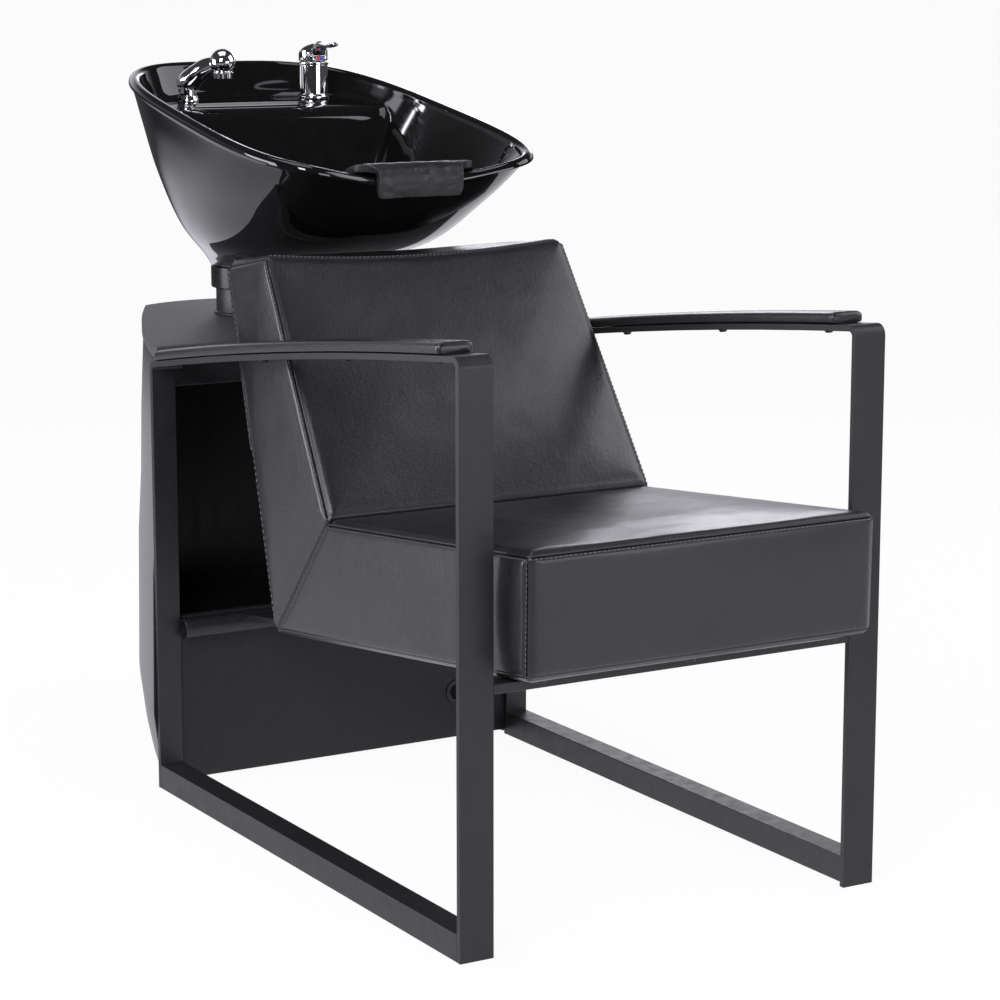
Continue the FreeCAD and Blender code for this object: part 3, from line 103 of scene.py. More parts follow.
def make_active(obj):
    deselect()
    obj.select_set(True)
    bpy.context.view_layer.objects.active = obj


def with_modifier(obj, label, kind, **settings):
    modifier = obj.modifiers.new(label, kind)
    for name, value in settings.items():
        setattr(modifier, name, value)
    return modifier


def applied(obj, kind, **settings):
    """Adds a modifier and applies it."""
    modifier = with_modifier(obj, kind.title(), kind, **settings)
    make_active(obj)
    bpy.ops.object.modifier_apply(modifier=modifier.name)
    return obj


def mesh_piece(name, points, faces):
    mesh = bpy.data.meshes.new(name)
    mesh.from_pydata([tuple(point) for point in points], [], faces)
    mesh.update()
    obj = bpy.data.objects.new(name, mesh)
    bpy.context.scene.collection.objects.link(obj)
    return obj


def tidy_normals(obj, merge=1e-5):
    make_active(obj)
    bpy.ops.object.mode_set(mode="EDIT")
    bpy.ops.mesh.select_all(action="SELECT")
    bpy.ops.mesh.remove_doubles(threshold=merge)
    bpy.ops.mesh.normals_make_consistent(inside=False)
    bpy.ops.object.mode_set(mode="OBJECT")
    return obj


CRISP_ANGLE, PIPE_ANGLE, SOFT_ANGLE, ALL_ROUND = 40.0, 45.0, 60.0, 180.0


def dressed(obj, body, material, replaces=(), angle=CRISP_ANGLE):
    """Sets a finished piece's shading, finish and body, and hides the nodes that it stands for."""
    make_active(obj)
    bpy.ops.object.transform_apply(location=True, rotation=True, scale=True)
    bpy.ops.object.shade_smooth_by_angle(angle=radians(angle))
    obj.data.materials.clear()
    obj.data.materials.append(material)
    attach(obj, body)
    if replaces:
        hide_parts(*replaces)
    return obj


def grid_faces(rows, columns, closed_rows=False, closed_columns=False):
    faces = []
    for row in range(rows if closed_rows else rows - 1):
        below = (row + 1) % rows
        for column in range(columns if closed_columns else columns - 1):
            right = (column + 1) % columns
            faces.append((row * columns + column, row * columns + right,
                          below * columns + right, below * columns + column))
    return faces


def round_steps(count):
    """Cosine and sine of even steps round a circle."""
    return [(cos(2 * pi * step / count), sin(2 * pi * step / count)) for step in range(count)]


def tube_faces(rows, columns):
    """Faces of a closed tube of rings, with both of its ends."""
    ends = [tuple(range(columns)), tuple(reversed(range((rows - 1) * columns, rows * columns)))]
    return grid_faces(rows, columns, closed_columns=True) + ends


def even_places(points, shares):
    """Where shares of a line's length fall: the stretch between two points, and the share of it."""
    lengths = [0.0]
    for a, b in zip(points, points[1:]):
        lengths.append(lengths[-1] + (b - a).length)
    index = 0
    for share in shares:
        target = lengths[-1] * share
        while lengths[index + 1] < target:
            index += 1
        gap = lengths[index + 1] - lengths[index]
        yield index, (target - lengths[index]) / gap if gap else 0.0


# Materials
class Graph:
    """A node tree with short ways to add and link its nodes."""

    def __init__(self, tree):
        self.tree = tree
        self.space = self.add("ShaderNodeTexCoord")

    def add(self, kind, **values):
        """A new node, with values for inputs whose names are spelt in small letters and underscores."""
        node = self.tree.nodes.new(kind)
        for name, value in values.items():
            node.inputs[name.replace("_", " ").title()].default_value = value
        return node

    def link(self, a, b):
        self.tree.links.new(a, b)

    def ramped(self, value, low, high, to_low, to_high, kind="LINEAR"):
        node = self.add("ShaderNodeMapRange", from_min=low, from_max=high, to_min=to_low, to_max=to_high)
        node.interpolation_type = kind
        self.link(value, node.inputs["Value"])
        return node.outputs["Result"]

    def eased(self, value, low, high, to_low, to_high):
        return self.ramped(value, low, high, to_low, to_high, "SMOOTHSTEP")

    def times(self, one, two):
        node = self.add("ShaderNodeMath")
        node.operation = "MULTIPLY"
        for value, socket in zip((one, two), node.inputs):
            if isinstance(value, float):
                socket.default_value = value
            else:
                self.link(value, socket)
        return node.outputs[0]

    def split(self, kind="Object"):
        node = self.add("ShaderNodeSeparateXYZ")
        self.link(self.space.outputs[kind], node.inputs["Vector"])
        return node.outputs

    def mixed(self, share, one, two):
        node = self.add("ShaderNodeMixShader")
        for source, socket in zip((share, one, two), node.inputs):
            self.link(source, socket)
        return node.outputs["Shader"]


class Finish(Graph):
    """A node material built up from noise layers on Object coordinates."""

    def __init__(self, name, colour, roughness, metallic=0.0, specular=0.5):
        self.material = bpy.data.materials.new(name)
        self.material.use_nodes = True
        super().__init__(self.material.node_tree)
        self.shader = self.tree.nodes["Principled BSDF"]
        self.colour = colour
        self.set("Base Color", (*colour, 1.0))
        self.set("Roughness", roughness)
        self.set("Metallic", metallic)
        self.set("Specular IOR Level", specular)
        self.normal = None

    def set(self, socket, value):
        self.shader.inputs[socket].default_value = value

    def stretched(self, scale):
        mapping = self.add("ShaderNodeMapping", scale=scale)
        self.link(self.space.outputs["Object"], mapping.inputs["Vector"])
        return mapping.outputs["Vector"]

    def noise(self, scale, detail=3.0, rough=0.5, stretch=None, distortion=0.0):
        node = self.add("ShaderNodeTexNoise", scale=scale, detail=detail, roughness=rough, distortion=distortion)
        source = self.stretched(stretch) if stretch else self.space.outputs["Object"]
        self.link(source, node.inputs["Vector"])
        return node.outputs["Fac"]

    def cells(self, scale, feature="F1"):
        node = self.add("ShaderNodeTexVoronoi")
        node.feature = feature
        node.inputs["Scale"].default_value = scale
        self.link(self.space.outputs["Object"], node.inputs["Vector"])
        return node.outputs["Distance"]

    def tinted(self, value, low, high, from_colour, to_colour):
        node = self.add("ShaderNodeValToRGB")
        for stop, spot, colour in zip(node.color_ramp.elements, (low, high), (from_colour, to_colour)):
            stop.position = spot
            stop.color = (*colour, 1.0)
        self.link(value, node.inputs["Fac"])
        self.link(node.outputs["Color"], self.shader.inputs["Base Color"])

    def shade(self, value, spread):
        """Varies the base colour by a share either way."""
        darker, lighter = ([channel * (1.0 + sign * spread) for channel in self.colour] for sign in (-1, 1))
        self.tinted(value, *NOISE_SPAN, darker, lighter)

    def rough(self, value, to_low, to_high):
        self.link(self.ramped(value, *NOISE_SPAN, to_low, to_high), self.shader.inputs["Roughness"])

    def bump(self, height, strength, distance):
        node = self.add("ShaderNodeBump", strength=strength, distance=distance)
        self.link(height, node.inputs["Height"])
        if self.normal:
            self.link(self.normal, node.inputs["Normal"])
        self.normal = node.outputs["Normal"]
        self.link(self.normal, self.shader.inputs["Normal"])

    def coated(self, weight, roughness):
        self.set("Coat Weight", weight)
        self.set("Coat Roughness", roughness)


NOISE_SPAN = 0.3, 0.7


# Upholstery
def vinyl_finish(colour):
    vinyl = Finish("vinyl", colour, 0.4)
    vinyl.shade(vinyl.noise(9.0, 4.0), 0.16)
    vinyl.rough(vinyl.noise(26.0, 5.0, 0.6), 0.30, 0.40)
    vinyl.bump(vinyl.noise(16.0, 3.0, 0.5, distortion=0.6), 0.22, 0.0020)
    vinyl.bump(vinyl.noise(70.0, 4.0, 0.6, distortion=1.4), 0.28, 0.0012)
    vinyl.bump(vinyl.noise(280.0, 4.0, 0.7), 0.5, 0.0011)
    vinyl.bump(vinyl.cells(950.0, "DISTANCE_TO_EDGE"), 0.22, 0.00016)
    vinyl.coated(0.4, 0.2)
    return vinyl


def thread_finish(colour):
    thread = Finish("thread", colour, 0.4)
    thread.shade(thread.noise(600.0, 2.0), 0.3)
    thread.bump(thread.noise(1800.0, 1.0, stretch=(1.0, 1.0, 0.4)), 0.5, 0.0002)
    return thread


def rubber_finish():
    rubber = Finish("soft_rubber", (0.012, 0.012, 0.0125), 0.45)
    rubber.shade(rubber.noise(30.0, 5.0), 0.3)
    rubber.rough(rubber.noise(60.0, 5.0), 0.30, 0.48)
    rubber.bump(rubber.noise(55.0, 5.0, 0.6, stretch=(0.35, 1.0, 1.0), distortion=0.8), 0.7, 0.0026)
    rubber.bump(rubber.cells(700.0, "DISTANCE_TO_EDGE"), 0.2, 0.0002)
    return rubber


# Frame and plinth
def powder_coat_finish(colour):
    coat = Finish("powder_coat", colour, 0.42)
    coat.shade(coat.noise(14.0, 4.0), 0.12)
    coat.rough(coat.noise(60.0, 4.0), 0.36, 0.47)
    coat.bump(coat.noise(900.0, 2.0), 0.10, 0.00025)
    coat.bump(coat.noise(240.0, 2.0), 0.06, 0.0005)
    return coat


def shell_finish():
    shell = Finish("gloss_shell", (0.008, 0.008, 0.009), 0.2, specular=0.33)
    shell.shade(shell.noise(90.0), 0.08)
    shell.rough(shell.noise(200.0, 2.0), 0.27, 0.29)
    shell.bump(shell.noise(500.0, 2.0), 0.01, 0.0002)
    return shell


def laminate_finish(colour):
    board = Finish("laminate", colour, 0.5)
    board.shade(board.noise(120.0, 5.0, 0.65), 0.2)
    board.rough(board.noise(160.0, 4.0), 0.50, 0.56)
    board.bump(board.noise(700.0), 0.08, 0.0003)
    return board


# The recess's back and shelf: black board, darkened further as painted shade for the dim light inside the recess.
def recess_painted_shade_finish():
    inside = Finish("recess_black_painted_shade", (0.0022, 0.0022, 0.0026), 0.4, specular=0.2)
    inside.shade(inside.noise(90.0, 4.0), 0.25)
    inside.rough(inside.noise(24.0, stretch=(3.0, 1.0, 0.2)), 0.32, 0.48)
    inside.bump(inside.noise(500.0, 2.0), 0.05, 0.0003)
    return inside


def panel_finish():
    panel = Finish("panel_black", (0.010, 0.010, 0.0115), 0.5, specular=0.4)
    panel.shade(panel.noise(110.0, 4.0), 0.2)
    panel.rough(panel.noise(120.0, 4.0), 0.46, 0.54)
    panel.bump(panel.noise(650.0, 2.0), 0.07, 0.0003)
    return panel


def plywood_finish():
    wood = Finish("plywood", (0.33, 0.22, 0.12), 0.6)
    grain = wood.noise(30.0, 6.0, 0.6, stretch=(0.12, 1.0, 4.0), distortion=0.5)
    wood.tinted(grain, 0.3, 0.75, (0.22, 0.14, 0.075), (0.42, 0.29, 0.17))
    wood.rough(wood.noise(80.0, 4.0), 0.52, 0.7)
    wood.bump(grain, 0.2, 0.0006)
    return wood


# Basin and metals
def glaze_finish(colour):
    glaze = Finish("black_glaze", colour, 0.05)
    glaze.shade(glaze.noise(40.0, 5.0), 0.25)
    glaze.rough(glaze.noise(18.0, 4.0), 0.035, 0.07)
    glaze.bump(glaze.noise(11.0, 1.5, 0.4), 0.05, 0.004)
    glaze.bump(glaze.noise(420.0, 2.0), 0.012, 0.0003)
    glaze.coated(0.35, 0.03)
    return glaze


def chrome_finish():
    chrome = Finish("chrome", (0.80, 0.81, 0.83), 0.05, metallic=1.0)
    chrome.shade(chrome.noise(35.0, 4.0), 0.03)
    chrome.rough(chrome.noise(90.0, 5.0), 0.03, 0.075)
    chrome.bump(chrome.noise(28.0, 2.0), 0.02, 0.001)
    return chrome


def steel_finish():
    steel = Finish("steel", (0.035, 0.035, 0.037), 0.38, metallic=0.6)
    steel.shade(steel.noise(300.0, 4.0), 0.25)
    steel.rough(steel.noise(500.0), 0.3, 0.5)
    steel.bump(steel.noise(1200.0, 2.0), 0.12, 0.0002)
    return steel


def brass_finish():
    brass = Finish("brass", (0.62, 0.44, 0.19), 0.3, metallic=1.0)
    brass.shade(brass.noise(70.0, 5.0), 0.15)
    brass.rough(brass.noise(300.0, 4.0), 0.22, 0.4)
    brass.bump(brass.noise(400.0, 2.0, stretch=(0.1, 0.1, 3.0)), 0.1, 0.0002)
    return brass


def nozzle_finish():
    plastic = Finish("nozzle_plastic", (0.03, 0.03, 0.032), 0.4)
    plastic.shade(plastic.noise(150.0, 4.0), 0.2)
    plastic.rough(plastic.noise(200.0), 0.33, 0.48)
    plastic.bump(plastic.cells(420.0), 0.2, 0.0003)
    return plastic


def tap_mark_finish():
    """A round mark, red on one side of the tap's middle and blue on the other."""
    mark = Finish("tap_mark", (0.5, 0.02, 0.03), 0.18)
    middle, blur = LEVER_X * MM, 0.0005
    side = mark.ramped(mark.split()["X"], middle - blur, middle + blur, 0.0, 1.0)
    mark.tinted(side, 0.45, 0.55, (0.55, 0.012, 0.02), (0.02, 0.06, 0.42))
    mark.rough(mark.noise(400.0, 2.0), 0.12, 0.25)
    return mark


def make_finishes():
    """All the object's finishes by the slots that they are for, and those of single nodes."""
    colours = bpy.context.scene.backwash_finish
    made = {
        "vinyl": vinyl_finish(colours.vinyl_colour),
        "thread": thread_finish(colours.thread_colour),
        "soft_rubber": rubber_finish(),
        "powder_coat": powder_coat_finish(colours.coat_colour),
        "gloss_shell": shell_finish(),
        "laminate": laminate_finish(colours.laminate_colour),
        "recess_black_painted_shade": recess_painted_shade_finish(),
        "panel_black": panel_finish(),
        "plywood": plywood_finish(),
        "black_ceramic": glaze_finish(colours.glaze_colour),
        "chrome": chrome_finish(),
        "steel": steel_finish(),
        "brass": brass_finish(),
        "nozzle_plastic": nozzle_finish(),
        "tap_mark": tap_mark_finish(),
    }
    return {name: finish.material for name, finish in made.items()}


FINISHES = {}

# The recess's back and shelf take the near-black finish that carries painted shade; the lower panel and apron take a
# plain black one.
NODE_FINISH = {"recess_back": "recess_black_painted_shade", "recess_shelf": "recess_black_painted_shade", "spray_nozzle": "chrome",
               "lower_front_panel": "panel_black", "plinth_apron": "panel_black"}
SOFT_EDGES = {
    "powder_coat": 0.0022, "gloss_shell": 0.0022, "laminate": 0.0026, "chrome": 0.0007, "steel": 0.0006,
    "soft_rubber": 0.0008,
}
PLAIN_EDGE, EDGE_STEPS, EDGE_ANGLE = 0.0005, 2, 32.0
WELD_REACH, FLAT_ANGLE = 2e-5, 0.3


class BACKWASH_OT_rigid(bpy.types.Operator):
    """Gives the rigid solids their finishes and eased edges"""
    bl_idname = "backwash.rigid"
    bl_label = "Rigid parts"

    def execute(self, context):
        FINISHES.update(make_finishes())
        slots = {row["node"]: row["material_slot"] for row in frame["record"]["subparts"]}
        for name, obj in frame["nodes"].items():
            slot = slots[name]
            obj.data.materials.clear()
            obj.data.materials.append(FINISHES[NODE_FINISH.get(name, slot)])
            obj.data.polygons.foreach_set("use_smooth", [True] * len(obj.data.polygons))
            with_modifier(obj, "Weld", "WELD", merge_threshold=WELD_REACH)
            with_modifier(obj, "Flat faces", "DECIMATE", decimate_type="DISSOLVE", angle_limit=radians(FLAT_ANGLE))
            with_modifier(obj, "Eased edges", "BEVEL", width=SOFT_EDGES.get(slot, PLAIN_EDGE), segments=EDGE_STEPS,
                          limit_method="ANGLE", angle_limit=radians(EDGE_ANGLE), use_clamp_overlap=True)
            with_modifier(obj, "Face normals", "WEIGHTED_NORMAL", keep_sharp=False)
        return {"FINISHED"}


# Cushions
SEAT_FRONT_LOW = (-61.0, 336.0)
SEAT_FRONT_HIGH = (-61.0, 490.0)
CROOK = (423.0, 446.0)
HEEL = (583.0, 264.0)
BACK_TOP = (629.0, 762.0)
BACK_REAR = (744.0, 744.0)
SEAT_HALF = 246.0
BACK_TOP_HALF = 229.0
BACK_DIP = 12.0
DIP_HEIGHTS, DIP_REAR, DIP_EASE = (560.0, 760.0), (655.0, 730.0), 0.75
BACKING_EASE = 0.012
SEAM_SHIFT = 6.0
SEAM_STEPS = (0.0, 1.3, 2.8, 4.2, 5.1, 5.6, 6.0, 6.4, 6.9, 7.8, 9.2, 11.5, 15.0, 19.0, 24.0)
PANEL_PITCH = 9.0
SEAM_DEPTH, SEAM_SPREAD = 2.6, 1.7
ROLL_HEIGHT, ROLL_PLACE, ROLL_SPREAD = 1.0, 7.0, 4.5
EDGE_FALL, EDGE_REACH = 4.6, 17.0
MITRE_INSET = 1.5
PUFF_REACH = (5.0, 105.0)
CLOTH = dict(quality=4, mass=0.3, tension_stiffness=18.0, compression_stiffness=18.0, bending_stiffness=1.5,
             use_pressure=True, uniform_pressure_force=4.0)
CLOTH_FRAMES, STILL_SHARE = 20, 0.05
CREASE_EASE, CREASE_STRETCH, CREASE_PATCH = (0.004, 0.03), Vector((1.0, 2.2, 1.4)), 0.35
CREASE_SEED = Vector((1.0, 0.7, 1.3))
COVER_CREASES = ((0.0010, 11.0, 0.0), (0.0005, 34.0, 4.0))
# How far down or to the rear a cover's normals point where it is held, and where it lies on the board
NEVER = 2.0
SEAT_HELD, SEAT_BACKING, SEAT_CLEAR, SEAT_SEED = (0.6, 0.55), (0.6, NEVER), 0.0010, 3.1
BACK_HELD, BACK_BACKING, BACK_CLEAR, BACK_SEED = (0.75, 0.4), (NEVER, 0.6), 0.0035, 7.7


def panel_lines(length):
    """Places along a panel for its mesh lines, close together by the seams."""
    last = SEAM_STEPS[-1]
    count = max(2, round((length - 2 * last) / PANEL_PITCH))
    middle = [last + (length - 2 * last) * step / count for step in range(1, count)]
    return [*SEAM_STEPS, *middle, *(length - step for step in reversed(SEAM_STEPS))]


class Block:
    """A four-cornered upholstered block; places on it are given across, along and up."""

    def __init__(self, corners, start_half, end_half, mitre_at_end):
        self.low_start, self.low_end, self.high_end, self.high_start = (Vector(spot) for spot in corners)
        self.halves = start_half, end_half
        self.size = Vector((start_half + end_half, (self.low_end - self.low_start).length,
                            (self.high_start - self.low_start).length))
        self.mitre_at_end = mitre_at_end

    def spot(self, across, along, up):
        share, rise = along / self.size.y, up / self.size.z
        half = self.halves[0] + (self.halves[1] - self.halves[0]) * share
        low = self.low_start.lerp(self.low_end, share)
        high = self.high_start.lerp(self.high_end, share)
        y, z = low.lerp(high, rise)
        return place((2.0 * across / self.size.x - 1.0) * half, y, z)

    def seam_distance(self, face, away, edge, along):
        """How far a place is from its seam, which lies beside the block's edge, on the side or end panel."""
        at_end = along > self.size.y / 2
        if 1 in (face, edge) and at_end == self.mitre_at_end:
            return away
        return abs(away - SEAM_SHIFT) if face < edge else away + SEAM_SHIFT

    def eased(self, spot, radius):
        """A place on the sharp block moved to its round-edged, sewn skin, and its distances from the seams."""
        inner = Vector(spot)
        for axis in range(3):
            low, high = radius, self.size[axis] - radius
            if axis == 1 and self.mitre_at_end:
                high = self.size.y - MITRE_INSET
            elif axis == 1:
                low = MITRE_INSET
            inner[axis] = min(max(spot[axis], low), high)
        gap = spot - inner
        if gap.length > radius:
            gap *= radius / gap.length
        (_, face), (away, edge), (further, _) = sorted((min(spot[axis], self.size[axis] - spot[axis]), axis)
                                                       for axis in range(3))
        seam = self.seam_distance(face, away, edge, spot.y)
        depth = SEAM_DEPTH * exp(-(seam / SEAM_SPREAD) ** 2)
        roll = ROLL_HEIGHT * exp(-((seam - ROLL_PLACE) / ROLL_SPREAD) ** 2)
        fall = EDGE_FALL * exp(-(away / EDGE_REACH) ** 2)
        if gap.length > 0.0:
            gap *= 1.0 + (roll - depth - fall) / max(gap.length, radius)
        return inner + gap, away, further

    def cover(self, name, radius):
        """The block's skin as one closed mesh, with each point's distance from a seam and share of puff."""
        lines = [panel_lines(length) for length in self.size]
        last = [len(line) - 1 for line in lines]
        index, points, away, share, faces = {}, [], [], [], []

        def corner(key):
            if key not in index:
                spot, near, far = self.eased(Vector([lines[axis][key[axis]] for axis in range(3)]), radius)
                index[key] = len(points)
                points.append(self.spot(*spot))
                away.append(near * MM)
                share.append(smooth_step(near, *PUFF_REACH) * smooth_step(far, *PUFF_REACH))
            return index[key]

        for axis in range(3):
            one, two = [other for other in range(3) if other != axis]
            for level in (0, last[axis]):
                for a in range(last[one]):
                    for b in range(last[two]):
                        quad = []
                        for step_a, step_b in ((0, 0), (1, 0), (1, 1), (0, 1)):
                            key = [0, 0, 0]
                            key[axis], key[one], key[two] = level, a + step_a, b + step_b
                            quad.append(corner(tuple(key)))
                        faces.append(quad)
        return tidy_normals(mesh_piece(name, points, faces), merge=1e-7), away, share


def turned_away(normal, down, rear):
    """Whether a normal points down or to the rear by more than the given amounts."""
    return normal.z < -down or normal.y > rear


def pressed_out(obj, still):
    """Where a cloth run with pressure takes the cover's points, those held still apart."""
    seam = obj.vertex_groups.new(name="seam")
    seam.add(still, 1.0, "REPLACE")
    cloth = obj.modifiers.new("Cover", "CLOTH")
    for name, value in CLOTH.items():
        setattr(cloth.settings, name, value)
    cloth.settings.vertex_group_mass = seam.name
    cloth.settings.effector_weights.gravity = 0.0
    cloth.collision_settings.use_collision = False
    cloth.collision_settings.use_self_collision = False
    cloth.point_cache.frame_start = 1
    cloth.point_cache.frame_end = CLOTH_FRAMES
    scene = bpy.context.scene
    for step in range(1, CLOTH_FRAMES + 1):
        scene.frame_set(step)
    shaped = obj.evaluated_get(bpy.context.evaluated_depsgraph_get())
    moved = [vertex.co.copy() for vertex in shaped.data.vertices]
    obj.modifiers.remove(cloth)
    obj.vertex_groups.remove(seam)
    scene.frame_set(1)
    return moved


def swell(obj, share, puff, held):
    """Lets the cover swell between its seams, its travel capped."""
    vertices = obj.data.vertices
    rest = [vertex.co.copy() for vertex in vertices]
    normals = [vertex.normal.copy() for vertex in vertices]
    most = [0.0 if turned_away(normal, *held) else puff * part for normal, part in zip(normals, share)]
    moved = pressed_out(obj, [index for index, travel in enumerate(most) if travel < puff * STILL_SHARE])
    for vertex, start, end, limit in zip(vertices, rest, moved, most):
        travel = end - start
        if travel.length > limit:
            travel *= limit / travel.length
        vertex.co = start + travel


def creased(obj, depth, scale, seed, away=None):
    """Soft drag lines in the cover, stronger in patches."""
    normals = [vertex.normal.copy() for vertex in obj.data.vertices]
    for vertex, normal in zip(obj.data.vertices, normals):
        reach = smooth_step(away[vertex.index], *CREASE_EASE) if away else 1.0
        spot = vertex.co * scale + CREASE_SEED * seed
        line = noise.noise(spot * CREASE_STRETCH)
        patch = 0.5 + 0.5 * noise.noise(spot * CREASE_PATCH)
        vertex.co += normal * depth * line * patch * reach


def dip_back(obj):
    """The backrest's top edge hangs a little lower in the middle, less at the rear over the board."""
    for vertex in obj.data.vertices:
        height = smooth_step(vertex.co.z / MM, *DIP_HEIGHTS)
        across = vertex.co.x / MM / BACK_TOP_HALF
        rear = 1.0 - DIP_EASE * smooth_step(vertex.co.y / MM - LEG_FRONT, *DIP_REAR)
        vertex.co.z -= BACK_DIP * MM * height * rear * max(0.0, 1.0 - across * across)


# Stitching
STITCH_PITCH, STITCH_LENGTH, STITCH_HALF, STITCH_INSET = 6.4, 4.5, 0.75, 5.0
STITCH_SIDES, STITCH_PROBE = 5, 0.03
STITCH_RINGS = ((0.0, -0.7, 0.6), (0.25, 0.25, 1.0), (0.75, 0.25, 1.0), (1.0, -0.7, 0.6))


def stitch_row(block, tree, start, end, outward, points, faces):
    """A row of thread stitches on a block's cover between two places on it."""
    start, end, outward = Vector(start), Vector(end), Vector(outward)
    count = max(1, int((end - start).length / STITCH_PITCH))
    step = (end - start) / count
    reach = (end - start).normalized() * STITCH_LENGTH
    for number in range(count):
        first = start + step * (number + 0.5) - reach / 2
        ends = []
        for spot in (first, first + reach):
            here = block.spot(*spot)
            away = (block.spot(*(spot + outward)) - here).normalized()
            hit, normal, _, _ = tree.ray_cast(here + away * STITCH_PROBE, -away, 2 * STITCH_PROBE)
            if hit is not None:
                ends.append((hit, normal))
        if len(ends) < 2:
            continue
        (a, up), (b, _) = ends
        side = (b - a).normalized().cross(up).normalized()
        base = len(points)
        for share, rise, thick in STITCH_RINGS:
            middle = a.lerp(b, share) + up * rise * STITCH_HALF * MM
            for across, high in round_steps(STITCH_SIDES):
                points.append(middle + (side * across + up * high) * STITCH_HALF * thick * MM)
        faces += [tuple(base + corner for corner in face) for face in tube_faces(len(STITCH_RINGS), STITCH_SIDES)]


def stitched(name, block, cover, rows):
    tree = BVHTree.FromPolygons([vertex.co for vertex in cover.data.vertices],
                                [tuple(face.vertices) for face in cover.data.polygons])
    points, faces = [], []
    for start, end, outward in rows:
        stitch_row(block, tree, start, end, outward, points, faces)
    obj = tidy_normals(mesh_piece(name, points, faces), merge=1e-7)
    return dressed(obj, "chassis", FINISHES["thread"], angle=SOFT_ANGLE)


def seat_rows(size):
    """Stitch rows of the seat: round the front panel, along the sides and along the mitre."""
    wide, long, tall = size
    near, past = STITCH_INSET, SEAM_SHIFT + STITCH_INSET
    rows = [((near, 0, tall - past), (wide - near, 0, tall - past), (0, -1, 0))]
    for x, out in ((0.0, -1), (wide, 1)):
        inner = x - out * near
        rows += [
            ((inner, 0, near), (inner, 0, tall - past), (0, -1, 0)),
            ((x, past, tall - past), (x, long - near, tall - past), (out, 0, 0)),
            ((x, long - near, near), (x, long - near, tall - past), (out, 0, 0)),
        ]
    return rows


def back_rows(size):
    """Stitch rows of the backrest: along its top, and round its side panels."""
    wide, long, tall = size
    near, past = STITCH_INSET, SEAM_SHIFT + STITCH_INSET
    rows = [((past, long, past), (wide - past, long, past), (0, 1, 0))]
    for x, out in ((0.0, -1), (wide, 1)):
        rows += [
            ((x, near, past), (x, long - past, past), (out, 0, 0)),
            ((x, near, tall - past), (x, long - past, tall - past), (out, 0, 0)),
            ((x, near, past), (x, near, tall - past), (out, 0, 0)),
        ]
    return rows


def upholstered(name, block, held, backing, clear, seed):
    """A block's cover, swollen and creased; its backing panel stands clear of the board."""
    shape = bpy.context.scene.backwash_shape
    obj, away, share = block.cover(name, shape.edge_softness / MM)
    swell(obj, share, shape.cushion_puff, held)
    for depth, scale, shift in COVER_CREASES:
        creased(obj, depth, scale, seed + shift, away)
    normals = [vertex.normal.copy() for vertex in obj.data.vertices]
    for vertex, normal, near in zip(obj.data.vertices, normals, away):
        if turned_away(normal, *backing):
            vertex.co += normal * clear * smooth_step(near, 0.0, BACKING_EASE)
    return obj


class BACKWASH_OT_cushions(bpy.types.Operator):
    """Makes the seat cushion and the backrest with their stitching"""
    bl_idname = "backwash.cushions"
    bl_label = "Seat and backrest"

    def execute(self, context):
        seat_block = Block((SEAT_FRONT_LOW, HEEL, CROOK, SEAT_FRONT_HIGH), SEAT_HALF, SEAT_HALF, True)
        back_block = Block((CROOK, BACK_TOP, BACK_REAR, HEEL), SEAT_HALF, BACK_TOP_HALF, False)
        seat = upholstered("seat_cover", seat_block, SEAT_HELD, SEAT_BACKING, SEAT_CLEAR, SEAT_SEED)
        back = upholstered("back_cover", back_block, BACK_HELD, BACK_BACKING, BACK_CLEAR, BACK_SEED)
        stitched("seat_stitching", seat_block, seat, seat_rows(seat_block.size))
        thread = stitched("back_stitching", back_block, back, back_rows(back_block.size))
        dip_back(back)
        dip_back(thread)
        dressed(seat, "chassis", FINISHES["vinyl"], ["seat_cushion"], ALL_ROUND)
        dressed(back, "chassis", FINISHES["vinyl"], ["backrest"], ALL_ROUND)
        return {"FINISHED"}


# Arm pads
ARM_FRONT, ARM_REAR, ARM_DEPTH, ARM_ARCH = 704.0, 598.0, 845.0, 8.0
ARM_CHORD = hypot(ARM_DEPTH, ARM_FRONT - ARM_REAR)
ARM_RADIUS = (ARM_CHORD ** 2 / 4 + ARM_ARCH ** 2) / (2 * ARM_ARCH)
ARM_FALL = ARM_RADIUS - ARM_ARCH
ARM_CENTRE_Y = ARM_DEPTH / 2 - ARM_FALL * (ARM_FRONT - ARM_REAR) / ARM_CHORD
ARM_CENTRE_Z = (ARM_FRONT + ARM_REAR) / 2 - ARM_FALL * ARM_DEPTH / ARM_CHORD
ARM_X = 274.5
PAD_START, PAD_END, PAD_HALF, PAD_LOW, PAD_HIGH = 45.0, 829.0, 23.5, 0.3, 15.0
PAD_STEPS, PAD_ROWS, PAD_SIDES = (0.0, 0.3, 0.8, 1.5, 2.5, 4.0, 6.0, 9.0, 13.0, 19.0), 90, 44
PAD_END_SIDE, PAD_END_TOP = 5.0, 7.0
PAD_SIDE_POWER, PAD_TOP_POWER, PAD_FOOT_POWER = 0.4, 0.62, 0.25
PAD_CREASE, PAD_CREASE_SCALE = 0.0003, 22.0


def arm_height(y):
    return ARM_CENTRE_Z + sqrt(ARM_RADIUS ** 2 - (y - ARM_CENTRE_Y) ** 2)


def end_round(distance, radius):
    """How far a round end stands in from the full size, at a distance from that end."""
    return radius - sqrt(max(0.0, radius ** 2 - (radius - min(distance, radius)) ** 2))


